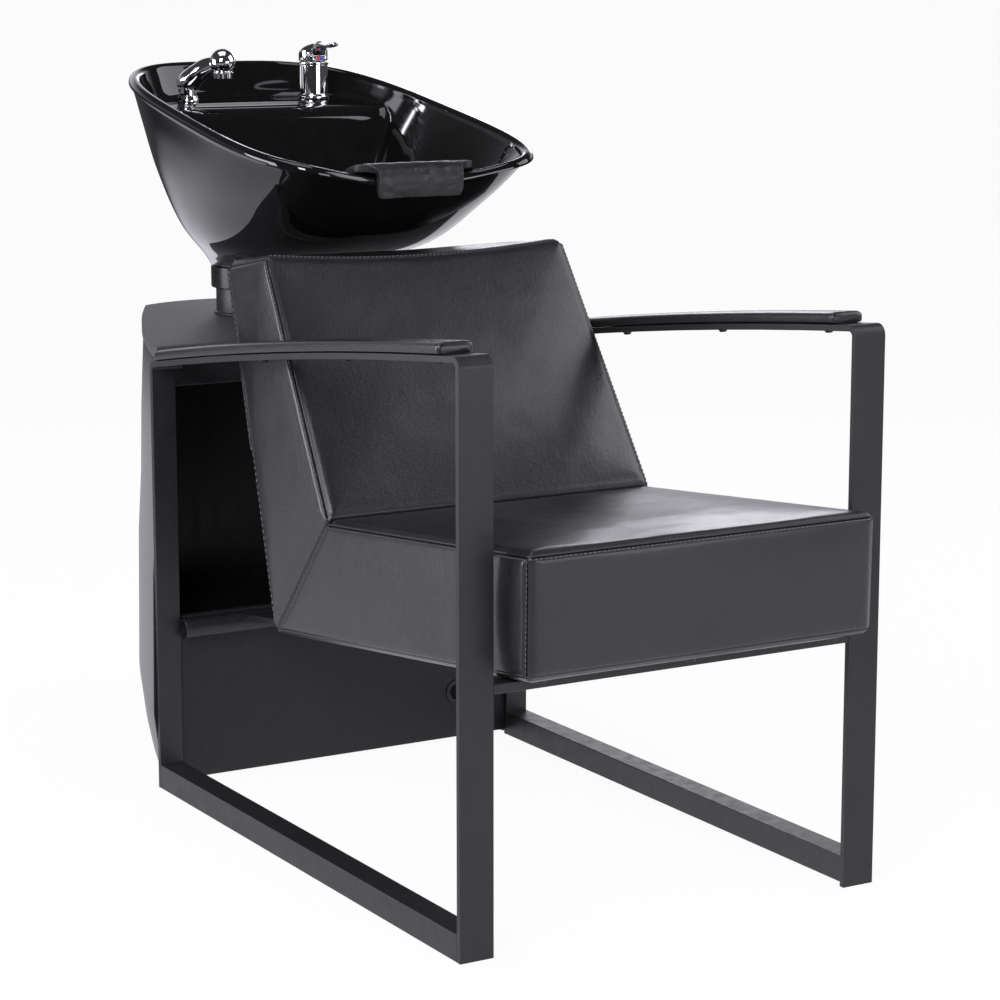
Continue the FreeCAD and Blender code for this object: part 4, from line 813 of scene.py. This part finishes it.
def pad_cover(name, x, seed):
    """A slim crowned pad lofted along the arched arm, with square-cut, round-edged ends."""
    length = PAD_END - PAD_START
    middle = [PAD_STEPS[-1] + (length - 2 * PAD_STEPS[-1]) * step / PAD_ROWS for step in range(1, PAD_ROWS)]
    places = [*PAD_STEPS, *middle, *(length - step for step in reversed(PAD_STEPS))]
    points = []
    for along in places:
        end = min(along, length - along)
        half = PAD_HALF - end_round(end, PAD_END_SIDE)
        high = PAD_HIGH - end_round(end, PAD_END_TOP)
        y = PAD_START + along
        for across, up in round_steps(PAD_SIDES):
            wide = half * signed_power(across, PAD_SIDE_POWER)
            rise = signed_power(up, PAD_TOP_POWER if up > 0 else PAD_FOOT_POWER)
            points.append(place(x + wide, y, arm_height(y) + (PAD_LOW + high + (high - PAD_LOW) * rise) / 2))
    obj = tidy_normals(mesh_piece(name, points, tube_faces(len(places), PAD_SIDES)))
    creased(obj, PAD_CREASE, PAD_CREASE_SCALE, seed)
    return obj


class BACKWASH_OT_arm_pads(bpy.types.Operator):
    """Makes the two arm pads"""
    bl_idname = "backwash.arm_pads"
    bl_label = "Arm pads"

    def execute(self, context):
        for side, x, seed in (("left", -ARM_X, 2.0), ("right", ARM_X, 5.0)):
            pad = pad_cover(f"{side}_arm_cover", x, seed)
            dressed(pad, "chassis", FINISHES["vinyl"], [f"{side}_arm_pad"], SOFT_ANGLE)
        return {"FINISHED"}


# Basin
RIM = dict(front=572.0, rear=1244.0, front_half=229.0, rear_half=206.0, front_z=866.0, rear_z=986.0, square=3.4)
NECK_DENT, DENT_FLAT, DENT_END = 52.0, 58.0, 205.0
NECK_Z, NECK_FLAT, NECK_END, NECK_REACH, NECK_BLEND = 853.0, 50.0, 190.0, 150.0, 75.0
PEDESTAL, STEM, STEM_FOOT = 1130.0, 63.0, 690.0
BOWL_FLOOR, DRAIN_Y, DRAIN_FLAT = 768.0, 958.0, 38.0
BOWL_MIDDLE, BOWL_SLOPE, BOWL_FRONT_SLOPE, SLOPE_MOST, BOWL_POWER = 920.0, 130.0, 60.0, 0.8, 2.1
FLOOR_RISE, FLOOR_END = 5.0, 170.0
DECK_Z, DECK_EDGE, DECK_ROUND, DECK_SLOPE = 932.0, 1047.0, 26.0, 3.0
DECK_FALL, DECK_LEVEL, DECK_ROOT, DECK_FILLET = 7.0, 1118.0, 60.0, 9.0
RIM_TUCK, TUCK_START, TUCK_END, RIM_START = 0.8, 60.0, 20.0, 0.06
ROLL_GAP, ROLL_CREEP = 4.0, 0.02
BOWL_SMOOTHING, SMOOTH_SHARE = 8, 0.6
RING_COUNT, HULL_ROWS, BEAD_ROWS, BOWL_ROWS = 320, 44, 13, 110
RIM_SAMPLES, BOWL_SAMPLES = 4000, 420
HULL_RINGS = (
    dict(front=PEDESTAL - STEM, rear=PEDESTAL + STEM, front_half=STEM, rear_half=STEM,
         front_z=STEM_FOOT, rear_z=STEM_FOOT, square=2.0),
    dict(front=PEDESTAL - 195.0, rear=PEDESTAL + STEM - 2.0, front_half=120.0, rear_half=84.0,
         front_z=STEM_FOOT + 20.0, rear_z=STEM_FOOT + 25.0, square=2.2),
    dict(front=RIM["front"] + 200.0, rear=RIM["rear"] - 34.0, front_half=182.0, rear_half=128.0,
         front_z=STEM_FOOT + 52.0, rear_z=STEM_FOOT + 75.0, square=2.5),
    dict(front=RIM["front"] + 84.0, rear=RIM["rear"] - 16.0,
         front_half=RIM["front_half"] - 24.0, rear_half=RIM["rear_half"] - 34.0,
         front_z=RIM["front_z"] - 70.0, rear_z=RIM["rear_z"] - 140.0, square=2.7, dent=NECK_DENT * 0.5),
    dict(front=RIM["front"] + 28.0, rear=RIM["rear"] - 6.0,
         front_half=RIM["front_half"] - 9.0, rear_half=RIM["rear_half"] - 12.0,
         front_z=RIM["front_z"] - 32.0, rear_z=RIM["rear_z"] - 58.0, square=3.0, dent=NECK_DENT * 0.9),
    dict(dent=NECK_DENT, **RIM),
)
HOLE_RINGS = ((23.0, 768.0), (21.7, 767.0), (21.0, 764.5), (21.0, 752.0))
HOLLOW_RINGS = ((50.0, 50.0, 50.0, 690.0), (180.0, 53.0, 62.0, 716.0), (245.0, 53.0, 68.0, 752.0))


def dent_share(x):
    fade = (abs(x) - DENT_FLAT) / (DENT_END - DENT_FLAT)
    return 0.5 + 0.5 * cos(pi * min(max(fade, 0.0), 1.0))


def ring_point(angle, front, rear, front_half, rear_half, front_z, rear_z, square, dent=0.0):
    lean, side = -cos(angle), sin(angle)
    share = 0.5 + 0.5 * signed_power(lean, 2 / square)
    half = front_half + (rear_half - front_half) * share
    x = half * signed_power(side, 2 / square)
    if lean < 0:
        share += dent * dent_share(x) / (rear - front)
    return Vector((x, front + (rear - front) * share, front_z + (rear_z - front_z) * share))


def rim_point(angle):
    return ring_point(angle, **HULL_RINGS[-1])


def even_angles(count):
    """Ring angles that step evenly along the rim."""
    angles = [2 * pi * step / RIM_SAMPLES for step in range(RIM_SAMPLES + 1)]
    places = even_places([rim_point(angle) for angle in angles], [step / count for step in range(count)])
    return [angles[index] + (angles[index + 1] - angles[index]) * share for index, share in places]


def neck_drop(point):
    """How far the rim is let down for the neck at a place on it."""
    if point.y > RIM["front"] + NECK_REACH:
        return 0.0
    return (point.z - NECK_Z) * (1.0 - smooth_step(abs(point.x), NECK_FLAT, NECK_END))


def spline_points(points, count):
    """Even points on a smooth line through the given ones."""
    knots = [0.0]
    for a, b in zip(points, points[1:]):
        knots.append(knots[-1] + (b - a).length ** 0.75)
    slopes = []
    for i in range(len(points)):
        if i == 0:
            slopes.append((points[1] - points[0]) / (knots[1] - knots[0]))
        elif i == len(points) - 1:
            slopes.append((points[i] - points[i - 1]) / (knots[i] - knots[i - 1]))
        else:
            before = (points[i] - points[i - 1]) / (knots[i] - knots[i - 1])
            after = (points[i + 1] - points[i]) / (knots[i + 1] - knots[i])
            gap = knots[i + 1] - knots[i - 1]
            slopes.append((before * (knots[i + 1] - knots[i]) + after * (knots[i] - knots[i - 1])) / gap)
    result, index = [], 0
    for step in range(count):
        t = knots[-1] * step / (count - 1)
        while index < len(points) - 2 and knots[index + 1] < t:
            index += 1
        gap = knots[index + 1] - knots[index]
        s = (t - knots[index]) / gap
        a, b = points[index], points[index + 1]
        m, n = slopes[index] * gap, slopes[index + 1] * gap
        result.append(a * (2 * s ** 3 - 3 * s ** 2 + 1) + m * (s ** 3 - 2 * s ** 2 + s)
                      + b * (3 * s ** 2 - 2 * s ** 3) + n * (s ** 3 - s ** 2))
    return result


def blended_high(a, b, reach):
    """The higher of two heights, with a fillet where they meet."""
    gap = max(reach - abs(a - b), 0.0) / reach
    return max(a, b) + gap * gap * reach * 0.25


def deck_height(y):
    """Side view of the tap deck: level behind, round-edged and steep in front."""
    past = DECK_EDGE - y
    lip = DECK_Z - DECK_FALL
    if past <= -DECK_ROUND:
        return lip + DECK_FALL * smooth_step(y, DECK_EDGE + DECK_ROUND, DECK_LEVEL)
    if past < 0.0:
        return lip - DECK_ROUND + sqrt(max(DECK_ROUND ** 2 - (past + DECK_ROUND) ** 2, 0.0))
    return lip - DECK_ROUND - past * DECK_SLOPE


def inner_line(edge):
    """The bowl's inside from the rim's inner edge to the waste, evenly spaced."""
    run = Vector((-edge.x, DRAIN_Y - edge.y, 0.0))
    length = run.length
    slope = BOWL_SLOPE + BOWL_FRONT_SLOPE * max(0.0, run.y / length)
    line = []
    for step in range(BOWL_SAMPLES + 1):
        share = step / BOWL_SAMPLES * (length - HOLE_RINGS[0][0]) / length
        spot = Vector((edge.x, edge.y, 0.0)) + run * share
        travel = length * share
        fall = max(0.0, 1.0 - travel / min(slope, length * SLOPE_MOST)) ** BOWL_POWER
        floor = BOWL_FLOOR + FLOOR_RISE * smooth_step(length - travel, DRAIN_FLAT, FLOOR_END)
        height = floor + (edge.z - floor) * fall
        deck = deck_height(spot.y)
        if deck > BOWL_FLOOR - DECK_ROOT:
            height = min(blended_high(height, deck, DECK_FILLET), max(edge.z, height))
        line.append(Vector((spot.x, spot.y, height)))
    shares = [step / (BOWL_ROWS + 1) for step in range(1, BOWL_ROWS + 1)]
    return [line[index].lerp(line[index + 1], share) for index, share in even_places(line, shares)]


def smoothed_bowl(columns, first, last):
    """The bowl's mesh with each inner point moved towards the mean of its neighbours."""
    result = []
    for index, column in enumerate(columns):
        before, after = columns[index - 1], columns[(index + 1) % len(columns)]
        inner = [column[row].lerp((before[row] + after[row] + column[row - 1] + column[row + 1]) / 4, SMOOTH_SHARE)
                 for row in range(first, last)]
        result.append(column[:first] + inner + column[last:])
    return result


def inward_way(rims, index):
    """The level way from the rim into the bowl, square to the rim."""
    tangent = rims[(index + 1) % len(rims)] - rims[index - 1]
    inward = Vector((-tangent.y, tangent.x, 0.0)).normalized()
    middle = Vector((-rims[index].x, BOWL_MIDDLE - rims[index].y, 0.0))
    return -inward if inward.dot(middle) < 0 else inward


def basin_column(angle, rim, inward, roll):
    """One line of the skin: up the hull, over the rolled rim, down the bowl and into the waste."""
    drop, top = neck_drop(rim), rim.z - roll
    column = []
    for point in spline_points([ring_point(angle, **ring) for ring in HULL_RINGS], HULL_ROWS)[:-1]:
        near = smooth_step(point.z, rim.z - NECK_BLEND, rim.z)
        tuck = RIM_TUCK * smooth_step(point.z, rim.z - TUCK_START, rim.z - TUCK_END)
        spot = Vector((point.x, point.y, min(point.z, top) - drop * near)) + inward * tuck
        column.append(spot if point.z < top - ROLL_GAP else column[-1].lerp(spot, ROLL_CREEP))
    for step in range(BEAD_ROWS):
        turn = pi * ((1.0 + RIM_START) * step / (BEAD_ROWS - 1) - RIM_START)
        across = roll - roll * cos(turn)
        column.append(Vector((rim.x, rim.y, rim.z - drop - roll + roll * sin(turn))) + inward * across)
    column += inner_line(column[-1])
    way = Vector((column[-1].x, column[-1].y - DRAIN_Y, 0.0)).normalized()
    return column + [Vector((way.x * reach, DRAIN_Y + way.y * reach, z)) for reach, z in HOLE_RINGS]


def ring_band(below, above):
    """Faces between two rings that start at the given points."""
    steps = [(step, (step + 1) % RING_COUNT) for step in range(RING_COUNT)]
    return [(below + right, below + left, above + left, above + right) for left, right in steps]


def basin_shell():
    """The glazed basin as one closed skin: stem, hull, rolled rim, bowl and tap deck."""
    roll = bpy.context.scene.backwash_shape.rim_width / MM / 2
    angles = even_angles(RING_COUNT)
    rims = [rim_point(angle) for angle in angles]
    columns = [basin_column(angle, rims[index], inward_way(rims, index), roll) for index, angle in enumerate(angles)]
    first = HULL_ROWS - 1 + BEAD_ROWS
    for _ in range(BOWL_SMOOTHING):
        columns = smoothed_bowl(columns, first + 2, first + BOWL_ROWS - 1)
    rows = len(columns[0])
    points = [place(*column[row]) for row in range(rows) for column in columns]
    faces = grid_faces(rows, RING_COUNT, closed_columns=True)
    last, below = (rows - 1) * RING_COUNT, 0
    for front, rear, half, z in HOLLOW_RINGS:
        start = len(points)
        points += [place(*ring_point(angle, PEDESTAL - front, PEDESTAL + rear, half, half, z, z, 2.0))
                   for angle in angles]
        faces += ring_band(below, start)
        below = start
    faces += ring_band(below, last)
    return tidy_normals(mesh_piece("basin_glaze", points, faces), merge=1e-6)


class BACKWASH_OT_basin(bpy.types.Operator):
    """Makes the glazed basin"""
    bl_idname = "backwash.basin"
    bl_label = "Basin"

    def execute(self, context):
        basin = basin_shell()
        dressed(basin, "bowl", FINISHES["black_ceramic"], ["basin"], SOFT_ANGLE)
        return {"FINISHED"}


# Neck rest
REST_WIDTHS = ((0.0, 60.0), (0.12, 63.5), (0.36, 64.0), (0.46, 72.0), (0.58, 91.0), (0.8, 97.0), (1.0, 88.0))
REST_PATH = ((621.5, 826.0), (619.5, 838.0), (619.0, 851.0), (622.5, 861.0), (632.0, 865.5), (644.0, 864.0),
             (654.0, 858.0), (663.0, 848.5), (670.0, 837.0))
REST_ROWS, REST_COLUMNS, REST_THICK, REST_HUG, REST_DROOP = 30, 56, 0.0105, 0.6, 1.6
REST_EDGE = dict(width=0.003, segments=3, limit_method="ANGLE", angle_limit=radians(50.0))
REST_CREASES = ((0.0016, 60.0, 1.7), (0.0009, 150.0, 5.3))
REST_SMOOTH = dict(factor=0.4, iterations=2)


def between(table, share):
    """A size read off a short table of shares and sizes, eased from one to the next."""
    for (a, low), (b, high) in zip(table, table[1:]):
        if share <= b:
            return low + (high - low) * smooth_step(share, a, b)
    return table[-1][1]


def neck_saddle():
    """A soft saddle hung over the rim's neck hollow: a short flap outside, a wider one inside."""
    points = []
    for row, spot in enumerate(spline_points([Vector((0.0, y, z)) for y, z in REST_PATH], REST_ROWS)):
        share = row / (REST_ROWS - 1)
        half = between(REST_WIDTHS, share)
        for column in range(REST_COLUMNS):
            side = 2.0 * column / (REST_COLUMNS - 1) - 1.0
            forward = REST_HUG * NECK_DENT * (1.0 - dent_share(side * half))
            points.append(place(side * half, spot.y - forward, spot.z - REST_DROOP * side * side * share))
    obj = mesh_piece("neck_saddle", points, grid_faces(REST_ROWS, REST_COLUMNS))
    applied(obj, "SOLIDIFY", thickness=REST_THICK, offset=0.0)
    applied(obj, "BEVEL", **REST_EDGE)
    tidy_normals(obj, merge=1e-6)
    for depth, scale, seed in REST_CREASES:
        creased(obj, depth, scale, seed)
    return applied(obj, "SMOOTH", **REST_SMOOTH)


class BACKWASH_OT_neck_rest(bpy.types.Operator):
    """Makes the soft rest in the rim's neck hollow"""
    bl_idname = "backwash.neck_rest"
    bl_label = "Neck rest"

    def execute(self, context):
        rest = dressed(neck_saddle(), "bowl", FINISHES["soft_rubber"], ["neck_rest"], SOFT_ANGLE)
        return {"FINISHED"}


# Spray arm
SPRAY_BENDS = ((-103.0, 1131.0, 944.0), (-103.5, 1132.0, 955.0), (-98.0, 1122.0, 966.0), (-87.0, 1103.0, 981.0),
               (-73.0, 1080.0, 990.5))
SPRAY_HALVES = ((0.0, 11.0), (0.1, 12.0), (0.17, 16.0), (0.3, 16.5), (0.6, 14.0), (1.0, 10.0))
SPRAY_ROWS, SPRAY_SIDES = 40, 32
SPRAY_EDGE = dict(width=0.0008, segments=2, limit_method="ANGLE", angle_limit=radians(50.0))


def spray_arm():
    """The thick tapered pipe from the swivel to the spray's ball head."""
    line = spline_points([Vector(spot) for spot in SPRAY_BENDS], SPRAY_ROWS)
    points = []
    for row, spot in enumerate(line):
        run = (line[min(row + 1, SPRAY_ROWS - 1)] - line[max(row - 1, 0)]).normalized()
        side = run.cross(Vector((0.0, 0.0, 1.0))).normalized()
        rise = side.cross(run)
        half = between(SPRAY_HALVES, row / (SPRAY_ROWS - 1))
        points += [place(*(spot + side * half * across + rise * half * up)) for across, up in round_steps(SPRAY_SIDES)]
    obj = tidy_normals(mesh_piece("spray_arm", points, tube_faces(SPRAY_ROWS, SPRAY_SIDES)))
    return applied(obj, "BEVEL", **SPRAY_EDGE)


# Mixer lever
LEVER_X = 102.0
LEVER_ROWS = (
    (1151.6, 986.3, 989.5, 4.0), (1150.2, 986.3, 993.5, 8.0), (1147.0, 986.3, 999.0, 13.0),
    (1141.0, 986.3, 1005.5, 18.4), (1130.0, 986.3, 1011.0, 21.5), (1120.0, 986.3, 1013.4, 19.2),
    (1113.0, 986.3, 1014.4, 13.6), (1110.0, 986.4, 1014.7, 11.6), (1108.8, 998.0, 1014.8, 11.0),
    (1104.0, 1003.6, 1014.8, 10.4), (1092.0, 1006.6, 1013.9, 9.6), (1078.0, 1007.8, 1013.5, 9.2),
    (1068.0, 1009.0, 1014.6, 8.8), (1062.0, 1010.8, 1016.0, 7.4), (1060.2, 1012.6, 1016.2, 4.8))
LEVER_STEPS, LEVER_SIDES = 64, 40
HOOD_SQUARE, LEVER_SQUARE, HOOD_FRONT, HOOD_FOOT, HOOD_WALL = 9.0, 2.4, 1108.0, 986.8, 0.0022


def mixer_lever():
    """The tap's hood, domed behind and running out in front into a lever with a lifted tip."""
    points = []
    for y, low, high, half in spline_points([Vector(row) for row in LEVER_ROWS], LEVER_STEPS):
        for across, up in round_steps(LEVER_SIDES):
            power = 2 / (HOOD_SQUARE if up < 0.0 and y > HOOD_FRONT else LEVER_SQUARE)
            rise = (low + high + (high - low) * signed_power(up, power)) / 2
            points.append(place(LEVER_X + half * signed_power(across, power), y, rise))
    foot = HOOD_FOOT * MM
    faces = [face for face in tube_faces(LEVER_STEPS, LEVER_SIDES) if any(points[corner].z > foot for corner in face)]
    obj = tidy_normals(mesh_piece("mixer_lever", points, faces))
    return applied(obj, "SOLIDIFY", thickness=HOOD_WALL, offset=-1.0)


class BACKWASH_OT_taps(bpy.types.Operator):
    """Makes the spray's tapered arm and the mixer's lever"""
    bl_idname = "backwash.taps"
    bl_label = "Spray arm and lever"

    def execute(self, context):
        chrome = FINISHES["chrome"]
        dressed(spray_arm(), "spray_handset", chrome, ["spray_pipe"], PIPE_ANGLE)
        dressed(mixer_lever(), "mixer_handle", chrome, ["mixer_cap"])
        return {"FINISHED"}


# Stage
FLOOR_SIZE, FLOOR_GAP, FLOOR_COLOUR, FLOOR_ROUGHNESS, FLOOR_GLOW = 400.0, 0.0005, (0.93, 0.93, 0.93), 0.9, 0.95
PURE_WHITE, COOL_WHITE = (1.0, 1.0, 1.0, 1.0), (0.94, 0.92, 1.0)
NEAR_FLOOR, FAR_FLOOR, NEAR_FLOOR_LIGHT, FAR_FLOOR_LIGHT = 3.2, 6.0, 0.9, 0.07
LEFT_FLOOR, LEFT_FLOOR_SHADE = (-1.6, 0.2), 0.5
ROOM_LIGHT, ROOM_GLOSS, BACKDROP_LIGHT = 0.3, 0.05, 1.0
BACKDROP_TOP, BACKDROP_FOOT = 0.55, 0.28
BACKDROP_START, BACKDROP_FULL, BACKDROP_DARK = 0.06, 0.14, 0.12
BACKDROP_REAR, BACKDROP_SIDE, BACKDROP_LEFT = (0.0, 0.6), (-0.3, 0.25), 0.3


def floor_finish():
    """Pale floor: white to the camera, bright near the object and dimmer far off in reflections."""
    floor = Finish("floor_white", FLOOR_COLOUR, FLOOR_ROUGHNESS)
    white = floor.add("ShaderNodeEmission")
    glow = floor.add("ShaderNodeEmission", color=(*COOL_WHITE, 1.0))
    reach = floor.add("ShaderNodeVectorMath")
    reach.operation = "LENGTH"
    floor.link(floor.space.outputs["Object"], reach.inputs[0])
    fall = floor.eased(reach.outputs["Value"], NEAR_FLOOR, FAR_FLOOR, NEAR_FLOOR_LIGHT, FAR_FLOOR_LIGHT)
    shade = floor.eased(floor.split()["X"], *LEFT_FLOOR, LEFT_FLOOR_SHADE, 1.0)
    floor.link(floor.times(fall, shade), glow.inputs["Strength"])
    path = floor.add("ShaderNodeLightPath").outputs
    seen = floor.mixed(path["Is Glossy Ray"], floor.shader.outputs["BSDF"], glow.outputs["Emission"])
    camera = floor.times(path["Is Camera Ray"], FLOOR_GLOW)
    floor.link(floor.mixed(camera, seen, white.outputs["Emission"]),
               floor.tree.nodes["Material Output"].inputs["Surface"])
    return floor.material


def studio_world():
    """White behind the object; in reflections a dim room with a bright low backdrop at the rear."""
    world = bpy.data.worlds.new("studio")
    world.use_nodes = True
    room = Graph(world.node_tree)
    fill = world.node_tree.nodes["Background"]
    fill.inputs["Color"].default_value = PURE_WHITE
    fill.inputs["Strength"].default_value = ROOM_LIGHT
    white = room.add("ShaderNodeBackground", color=PURE_WHITE)
    gloss = room.add("ShaderNodeBackground", color=(*COOL_WHITE, 1.0))
    x, y, z = room.split("Generated")
    low = room.eased(z, BACKDROP_FOOT, BACKDROP_TOP, 1.0, 0.0)
    lift = room.eased(z, BACKDROP_START, BACKDROP_FULL, BACKDROP_DARK, 1.0)
    rear = room.eased(y, *BACKDROP_REAR, 0.0, 1.0)
    side = room.eased(x, *BACKDROP_SIDE, BACKDROP_LEFT, 1.0)
    band = room.times(room.times(low, lift), room.times(rear, side))
    room.link(room.eased(band, 0.0, 1.0, ROOM_GLOSS, BACKDROP_LIGHT), gloss.inputs["Strength"])
    path = room.add("ShaderNodeLightPath").outputs
    seen = room.mixed(path["Is Glossy Ray"], fill.outputs["Background"], gloss.outputs["Background"])
    room.link(room.mixed(path["Is Camera Ray"], seen, white.outputs["Background"]),
              world.node_tree.nodes["World Output"].inputs["Surface"])
    return world


# Each lamp's name, place, aim, width, height and power
LAMPS = (
    ("key", (-2.4, -2.3, 2.3), (0.0, -0.2, 0.5), 1.1, 1.6, 100.0),
    ("left", (-2.6, 1.2, 0.9), (0.0, 0.1, 0.5), 1.5, 1.5, 48.0),
    ("right", (3.0, -1.3, 2.4), (0.0, 0.0, 0.6), 2.6, 2.6, 58.0),
    ("front", (1.0, -3.6, 0.95), (0.0, -0.6, 0.45), 2.0, 0.9, 22.0),
    ("rear", (1.9, 2.6, 1.52), (0.1, 0.0, 0.5), 1.4, 0.7, 11.0),
    ("top", (-0.3, 0.2, 3.2), (0.0, 0.1, 0.4), 1.8, 1.8, 18.0),
)


def add_lamp(name, where, aim, width, height, power):
    light = bpy.data.lights.new(name, "AREA")
    light.shape = "RECTANGLE"
    light.size = width
    light.size_y = height
    light.energy = power
    light.color = COOL_WHITE
    obj = bpy.data.objects.new(name, light)
    obj.location = where
    obj.rotation_euler = (Vector(aim) - Vector(where)).to_track_quat("-Z", "Y").to_euler()
    bpy.context.scene.collection.objects.link(obj)


CAMERA_SENSOR, CAMERA_LENS = 36.0, 103.92
CAMERA_PLACE = Vector((-1.8667, -3.3858, 1.1320))
CAMERA_RIGHT = Vector((0.8606, -0.5092, 0.0)).normalized()
CAMERA_FORWARD = Vector((0.50058, 0.84606, -0.18326)).normalized()


def add_camera():
    camera = bpy.data.cameras.new("camera")
    camera.sensor_width = CAMERA_SENSOR
    camera.lens = CAMERA_LENS
    obj = bpy.data.objects.new("camera", camera)
    turn = Matrix((CAMERA_RIGHT, CAMERA_RIGHT.cross(CAMERA_FORWARD), -CAMERA_FORWARD)).transposed()
    obj.matrix_world = Matrix.Translation(CAMERA_PLACE) @ turn.to_4x4()
    bpy.context.scene.collection.objects.link(obj)
    bpy.context.scene.camera = obj


class BACKWASH_OT_stage(bpy.types.Operator):
    """Sets the floor, the light and the camera"""
    bl_idname = "backwash.stage"
    bl_label = "Stage"

    def execute(self, context):
        scene = context.scene
        scene.view_settings.view_transform = "Standard"
        deselect()
        bpy.ops.mesh.primitive_plane_add(size=FLOOR_SIZE, location=(0.0, 0.0, -FLOOR_GAP))
        floor = context.object
        floor.name = "floor"
        floor.data.materials.append(floor_finish())
        scene.world = studio_world()
        for lamp in LAMPS:
            add_lamp(*lamp)
        add_camera()
        return {"FINISHED"}


class BACKWASH_PT_panel(bpy.types.Panel):
    bl_idname = "BACKWASH_PT_panel"
    bl_label = "Backwash unit"
    bl_space_type = "VIEW_3D"
    bl_region_type = "UI"
    bl_category = "Backwash"

    def draw(self, context):
        layout = self.layout
        for settings in (context.scene.backwash_finish, context.scene.backwash_shape):
            for name in settings.__annotations__:
                layout.prop(settings, name)
        for operator in OPERATORS:
            layout.operator(operator.bl_idname)


OPERATORS = (
    BACKWASH_OT_rigid,
    BACKWASH_OT_cushions,
    BACKWASH_OT_arm_pads,
    BACKWASH_OT_basin,
    BACKWASH_OT_neck_rest,
    BACKWASH_OT_taps,
    BACKWASH_OT_stage,
)
CLASSES = (FinishSettings, ShapeSettings, *OPERATORS, BACKWASH_PT_panel)


def register():
    for cls in CLASSES:
        bpy.utils.register_class(cls)
    bpy.types.Scene.backwash_finish = PointerProperty(type=FinishSettings)
    bpy.types.Scene.backwash_shape = PointerProperty(type=ShapeSettings)


def unregister():
    del bpy.types.Scene.backwash_shape
    del bpy.types.Scene.backwash_finish
    for cls in reversed(CLASSES):
        bpy.utils.unregister_class(cls)


def main():
    register()
    deselect()
    bpy.ops.backwash.rigid()
    bpy.ops.backwash.cushions()
    bpy.ops.backwash.arm_pads()
    bpy.ops.backwash.basin()
    bpy.ops.backwash.neck_rest()
    bpy.ops.backwash.taps()
    bpy.ops.backwash.stage()


if __name__ == "__main__":
    main()
